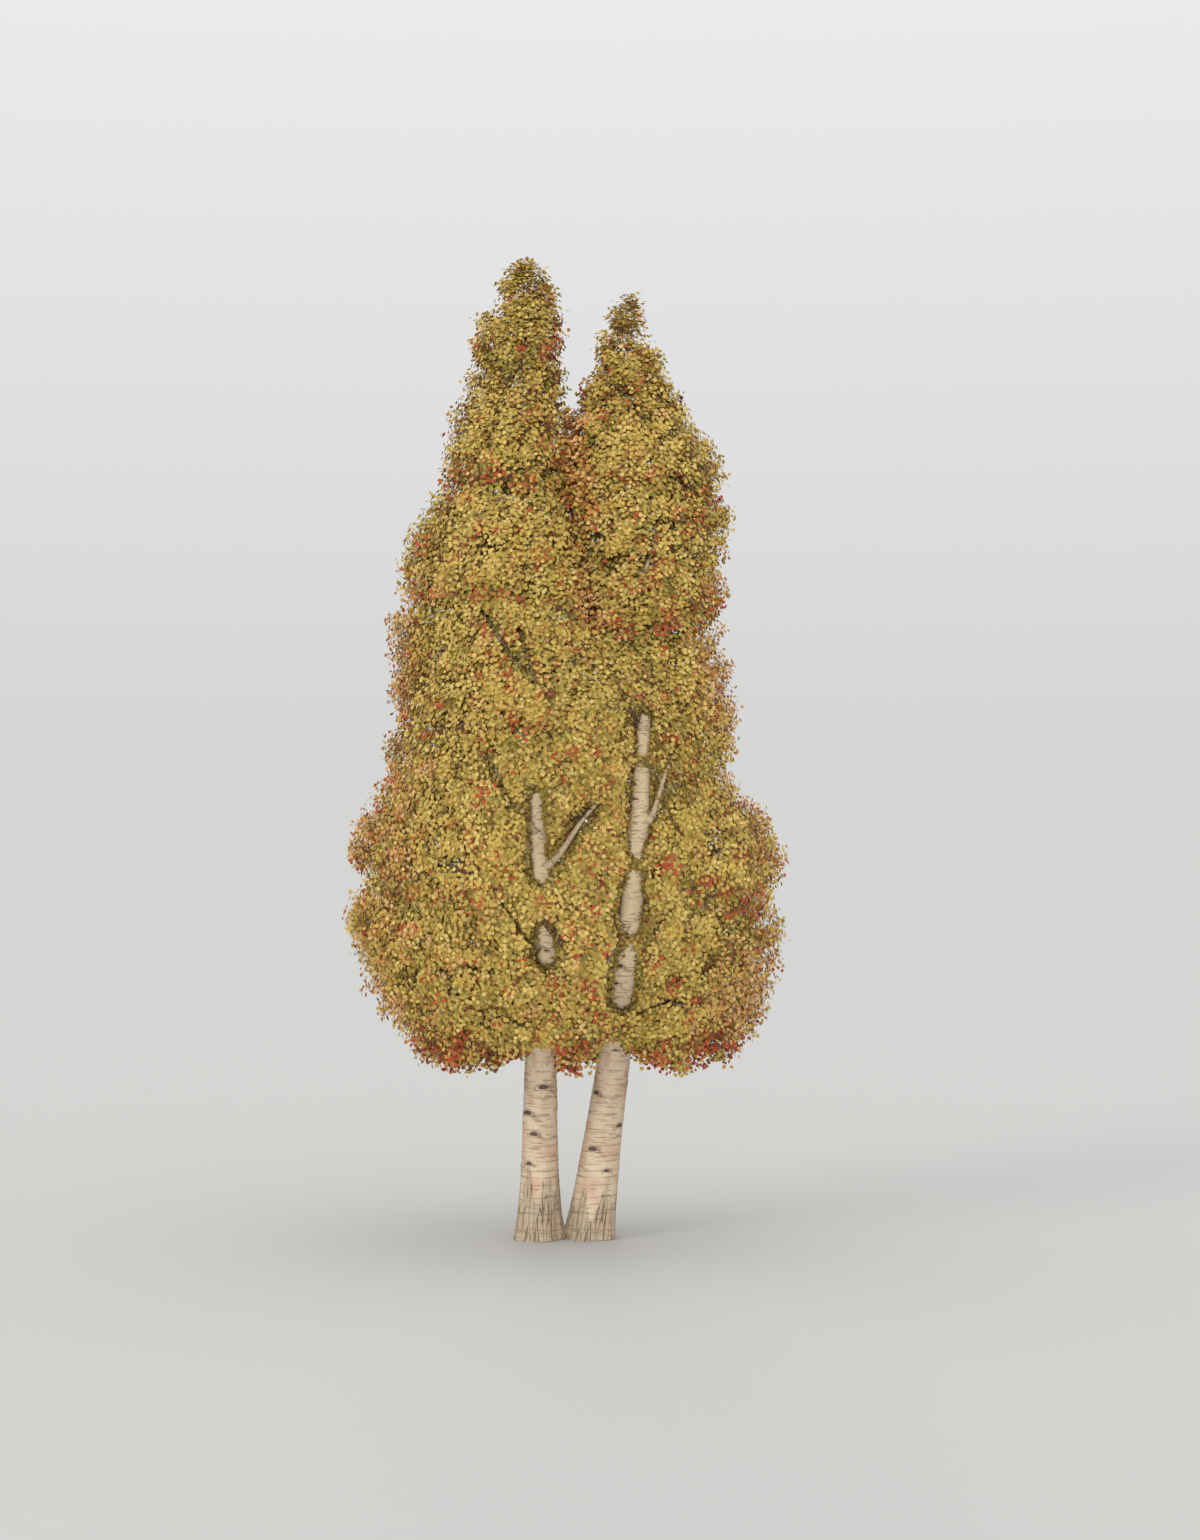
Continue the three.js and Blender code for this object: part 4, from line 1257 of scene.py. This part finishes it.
def dressed_twigs(stem_name):
    """All twigs of a stem's masses as one piece."""
    chosen = [i for i, mass in enumerate(masses) if mass["stem"] == stem_name]
    mains = np.array([bowed(foot, end) for i in chosen for foot, end in twigs_of[i]])
    girths = np.array([masses[i]["tip_radius"] * TWIGS["girth"] for i in chosen for _ in twigs_of[i]])
    shown = in_leaf(mains[:, TWIG_STEPS // 2])
    mains, girths = mains[shown], girths[shown]
    main_radii = girths[:, None] * np.linspace(1, .3, TWIG_STEPS)
    sides = np.concatenate([grown[i][0] for i in chosen])
    sides = sides[in_leaf(sides[:, 1]) & in_leaf((sides[:, 1] + sides[:, 2]) / 2)]
    feet = np.concatenate([grown[i][1] for i in chosen])
    tips = np.concatenate([sown[i][0] for i in chosen])
    side_radii = np.broadcast_to(np.linspace(SIDE_TWIG["foot"], SIDE_TWIG["tip"], 3), sides.shape[:2])
    shown = in_leaf((feet + tips) / 2)
    feet, tips = feet[shown], tips[shown]
    main_points, *main_faces = tubes(mains, main_radii, 5)
    side_points, *side_faces = tubes(sides, side_radii, 3)
    spray_tips = tips + unit(tips - feet) * SPRAY_TWIG["past"]
    spray_points, spray_faces = twig_points(feet, spray_tips, SPRAY_TWIG["foot"])
    points = np.concatenate([main_points, side_points, spray_points])
    side_start = len(main_points)
    spray_start = side_start + len(side_points)
    groups = main_faces + [faces + side_start for faces in side_faces] + [spray_faces + spray_start]
    made = joined_mesh(f"twigs_{stem_name}", points, groups)
    made.data.materials.append(twig_wood)
    made.data.materials.append(fine_wood)
    is_fine = [np.full(len(faces), k >= len(main_faces)) for k, faces in enumerate(groups)]
    wood = np.concatenate(is_fine).astype(np.int32)
    made.data.polygons.foreach_set("material_index", wood)
    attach(made, "root")
    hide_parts(*[f"foliage_{masses[i]['name']}" for i in chosen])
    return made


for name in STEMS:
    twig_piece = dressed_twigs(name)
    print(twig_piece.name, "faces:", len(twig_piece.data.polygons))

# %% [markdown]
# ## Leaves
# An aspen leaf is almost round, with a short point, on a stalk so thin that it trembles.
# One leaf here is six points and two four-cornered faces, folded a little along the
# middle. A particle system could scatter it, but instances are lost on export, so every
# leaf is a real face in a joined mesh. The leaves stand along the end of their twig, each
# turned on by the golden angle, tilted out and drooping, with their upper side turned
# roughly to the outside of the crown. Each twig carries three sprays.

# %% The leaf and its spray
LEAF_OUTLINE = np.array([
    (0, 0, 0), (.27, .46, .09), (.70, .41, .08), (1, 0, 0), (.70, -.41, .08), (.27, -.46, .09)])
LEAF_FACES = np.array([(0, 3, 2, 1), (0, 5, 4, 3)])
LEAF_LENGTH = (.049, .068)
SPRAYS_A_TWIG = 3
LEAVES_A_SPRAY = 4
OUTSIDE = {"flatten": (1, 1, .35), "lift": .25}   # the way that leaves turn to the light
TWIG_END = {"outward": .5, "spread": .25}
LEAF_FACING = {"up": .2, "spread": .25}
LEAF_STEP = 0.012                      # how unevenly leaves stand along their twig
SPRAY_SPAN = (-.14, .08)               # along its twig's end, behind and past the spray's place
LEAF_STALK = (.02, .065)               # how far a leaf stands off its twig
LEAF_TILT = (50, 100)                  # degrees from the twig's direction
LEAF_DROOP = 0.3


def leaves_on(index, draw):
    """Corner points of all of a mass's leaves: (twigs, leaves on a twig, 6, 3)."""
    mass = masses[index]
    places, _ = sown[index]
    feet = grown[index][1]
    middle = crown_middle(mass["stem"], places[:, 2])
    outside = unit((places - middle) * OUTSIDE["flatten"] + UP * OUTSIDE["lift"])
    strayed = draw.normal(0, TWIG_END["spread"], places.shape)
    ahead = unit(unit(places - feet) + TWIG_END["outward"] * outside + strayed)
    aside = unit(np.cross(ahead, draw.normal(0, 1, places.shape)))
    other = np.cross(ahead, aside)
    number = SPRAYS_A_TWIG * LEAVES_A_SPRAY
    shape = (len(places), number)
    along = np.linspace(*SPRAY_SPAN, number)[None, :] + draw.uniform(-LEAF_STEP, LEAF_STEP, shape)
    turn = np.arange(number) * GOLDEN_ANGLE + draw.uniform(0, math.tau, len(places))[:, None]
    tilt = np.radians(draw.uniform(*LEAF_TILT, shape))
    around = aside[:, None] * np.cos(turn)[..., None] + other[:, None] * np.sin(turn)[..., None]
    pointing = ahead[:, None] * np.cos(tilt)[..., None] + around * np.sin(tilt)[..., None]
    pointing = unit(pointing - UP * LEAF_DROOP * draw.random(shape)[..., None])
    strayed = draw.normal(0, LEAF_FACING["spread"], (*shape, 3))
    facing = outside[:, None] + UP * LEAF_FACING["up"] + strayed
    across = unit(np.cross(facing, pointing))
    normal = np.cross(pointing, across)
    length = draw.uniform(*LEAF_LENGTH, shape)[..., None, None]
    base = places[:, None] + ahead[:, None] * along[..., None]
    base = base + pointing * draw.uniform(*LEAF_STALK, shape)[..., None]
    outline = (LEAF_OUTLINE[:, 0, None] * pointing[:, :, None]
               + LEAF_OUTLINE[:, 1, None] * across[:, :, None]
               + LEAF_OUTLINE[:, 2, None] * normal[:, :, None])
    return base[:, :, None] + outline * length


print("leaves on each twig:", SPRAYS_A_TWIG * LEAVES_A_SPRAY)

# %% [markdown]
# ## Autumn tints
# From a step away the crown is gold, but it is a mixture: straw, gold and old gold on the
# outside, olive along the borders between the masses, orange and peach in ragged patches
# at the crown's sides and where the two crowns meet, pale straw with some red round the
# openings, paler straw and gold deep inside, and red, rust and dark red in bands along the
# undersides of the masses. Part of this is painted light and shade: the paler tints deep
# inside and round the openings stand in for light where shade falls, and the darker olive
# along the borders and the dark tints under the masses are painted shade. A painted
# pattern would slide over the small faces, so each tint is one plain material, and every
# spray draws its tint by chance. The chances depend on the zone that the spray stands in,
# and a later zone takes sprays from an earlier one.

# %% Tints and zones
TINTS = {
    "leaf_straw": (.55, .41, .12),
    "leaf_gold": (.49, .34, .075),
    "leaf_old_gold": (.44, .30, .067),
    "leaf_olive": (.36, .29, .06),
    "leaf_green": (.22, .21, .045),
    "leaf_peach": (.58, .34, .14),
    "leaf_orange": (.47, .20, .05),
    "leaf_red": (.38, .065, .025),
    "leaf_rust": (.33, .13, .035),
    "leaf_dark_red": (.15, .04, .02),
}
ZONES = ("outside", "underside", "deep_lit", "fringe", "border", "beside", "valley")
CHANCES = {                            # in the order of the tints, for each zone
    "outside": (.26, .38, .19, .07, .01, .01, .01, .045, .01, .025),
    # Under the masses and on the crown's bottom, red and rust autumn tints, with dark red, olive and old
    # gold massed there as painted shade.
    "underside": (.02, .10, .14, .11, .05, .02, .09, .27, .10, .12),
    # Deep inside, paler straw and gold than outside: painted light that lifts the shade between the
    # leaves.
    "deep_lit": (.40, .32, .12, .08, .03, .01, .01, .02, .01, .0),
    "fringe": (.09, .15, .06, .01, .0, .42, .21, .03, .03, .0),
    # Along the borders, more old gold, olive and green than outside: painted shade in the grooves between
    # the masses.
    "border": (.12, .28, .25, .17, .05, .0, .01, .06, .02, .04),
    # Round the openings, mostly pale straw and gold with some olive and red: the pale share is painted
    # light on the shaded walls of the openings.
    "beside": (.26, .30, .14, .08, .04, .02, .02, .09, .02, .03),
    "valley": (.08, .15, .12, .03, .0, .20, .34, .05, .03, .0),
}
ZONE_SIZES = {"underside": .24, "skirt": .3, "deep_lit": .32, "fringe": .36, "border": .16, "beside": .3}
NEIGHBOUR_BELOW = 0.25                 # how steeply down a neighbour lies from an underside
LEAF_FINISH = {"roughness": .62, "specular": .25}
PATCH_WAVES = np.array([(1.9, .7, 1.1), (-.8, 2.3, -1.6), (1.2, -1.4, 2.9)])   # turns a metre
PATCH_LEVEL = -.8                      # below it an underside keeps the tints of a border
SPECKLE = np.array([91.3, 57.7, 73.1])               # turns a metre, as good as a draw by chance
FRINGE = {"heights": (3.0, 9.5), "from": .78, "patches": .08, "speckle": .16}
VALLEY = {"heights": (8.6, 11.9), "width": .3}      # where the two crowns meet


def zones_of(index):
    """Which zone each spray of a mass stands in."""
    places, facts = sown[index]
    depth, border, neighbour_below = facts.T
    mass = masses[index]
    middle = crown_middle(mass["stem"], places[:, 2])
    sideways = (places[:, 0] - middle[:, 0]) / np.linalg.norm((places - middle)[:, :2], axis=1)
    waves = np.sin(places @ PATCH_WAVES.T).sum(axis=1)
    sideways *= -1 if mass["stem"] == "left" else 1
    ragged = FRINGE["patches"] * waves + FRINGE["speckle"] * np.sin(places @ SPECKLE)
    outer_side = sideways + ragged > FRINGE["from"]
    level = (places[:, 2] > FRINGE["heights"][0]) & (places[:, 2] < FRINGE["heights"][1])
    below_skirt = places[:, 2] - SKIRT["height"] < ZONE_SIZES["skirt"]
    zone = np.zeros(len(places), int)
    # Along the borders the darker tints are painted shade in the grooves.
    zone[border < ZONE_SIZES["border"]] = ZONES.index("border")
    zone[(depth < ZONE_SIZES["fringe"]) & outer_side & level] = ZONES.index("fringe")
    patchy = waves > PATCH_LEVEL
    # Round the openings, paler tints as painted light on their shaded walls.
    zone[beside_openings(places) < ZONE_SIZES["beside"]] = ZONES.index("beside")
    off = [np.hypot(*(places - crown_middle(name, places[:, 2]))[:, :2].T) for name in STEMS]
    high = (places[:, 2] > VALLEY["heights"][0]) & (places[:, 2] < VALLEY["heights"][1])
    # Undersides and the crown's bottom: red and rust tints, and darker tints as painted shade under the
    # masses.
    under = (border < ZONE_SIZES["underside"]) & (neighbour_below > NEIGHBOUR_BELOW)
    zone[under & patchy] = ZONES.index("underside")
    zone[below_skirt] = ZONES.index("underside")
    # Deep inside, the paler tints stand in as painted light against the shade there.
    zone[depth > ZONE_SIZES["deep_lit"]] = ZONES.index("deep_lit")
    zone[high & (np.abs(off[0] - off[1]) < VALLEY["width"])] = ZONES.index("valley")
    return zone


def tints_of(index, draw):
    """The tint of each spray of a twig, by the chances of its zone."""
    zone = zones_of(index)
    chances = np.cumsum([CHANCES[name] for name in ZONES], axis=1)
    chances /= chances[:, -1:]
    chance = draw.random((len(zone), SPRAYS_A_TWIG))
    return (chance[..., None] > chances[zone][:, None]).sum(axis=2)


tint_materials = [plain_material(name, colour, *LEAF_FINISH.values()) for name, colour in TINTS.items()]
print("tints:", len(tint_materials), "zones:", len(ZONES))

# %% [markdown]
# ## The leaf pieces
# Half a million faces in one mesh would be slow to handle, so the leaves of each tier of
# masses are one piece, with all the tints as its material slots. A leaf that would stand
# in front of an opening is dropped here, one by one, so that the openings get the ragged
# edges of foliage. No leaf may pass the box of the construction by more than twice its size.

# %% Leaves of each tier
TIER_NAMES = ("low", "lower", "middle", "upper", "top")
LEAF_MARGIN = 0.12                     # how far a leaf may pass the construction's box
LEAF_EDGE = -0.02                      # how far a leaf's middle may lie inside an opening


def dressed_leaves(stem_name, group, draw):
    chosen = [i for i, m in enumerate(masses) if m["stem"] == stem_name and m["group"] == group]
    corners, tints = [], []
    for index in chosen:
        leaves = leaves_on(index, draw)
        tint = np.repeat(tints_of(index, draw), LEAVES_A_SPRAY, axis=1).ravel()
        leaves = leaves.reshape(-1, len(LEAF_OUTLINE), 3)
        centre = leaves.mean(axis=1)
        keep = in_box(leaves, LEAF_MARGIN).all(axis=1) & (beside_openings(centre) > LEAF_EDGE)
        corners.append(leaves[keep])
        tints.append(tint[keep])
    corners = np.concatenate(corners)
    tints = np.repeat(np.concatenate(tints), len(LEAF_FACES)).astype(np.int32)
    first = np.arange(len(corners))[:, None, None] * len(LEAF_OUTLINE)
    faces = (first + LEAF_FACES).reshape(-1, 4)
    made = joined_mesh(f"leaves_{stem_name}_{TIER_NAMES[group - 1]}", corners.reshape(-1, 3), [faces])
    for material in tint_materials:
        made.data.materials.append(material)
    made.data.polygons.foreach_set("material_index", tints)
    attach(made, "root")
    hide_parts(*[f"foliage_{masses[i]['name']}" for i in chosen])
    return made


leaf_count = 0
for name in STEMS:
    for group in range(1, len(TIER_NAMES) + 1):
        leaf_piece = dressed_leaves(name, group, draw)
        leaf_count += len(leaf_piece.data.polygons) // len(LEAF_FACES)
        print(leaf_piece.name, "triangles:", 2 * len(leaf_piece.data.polygons))
print("leaves in all:", leaf_count)
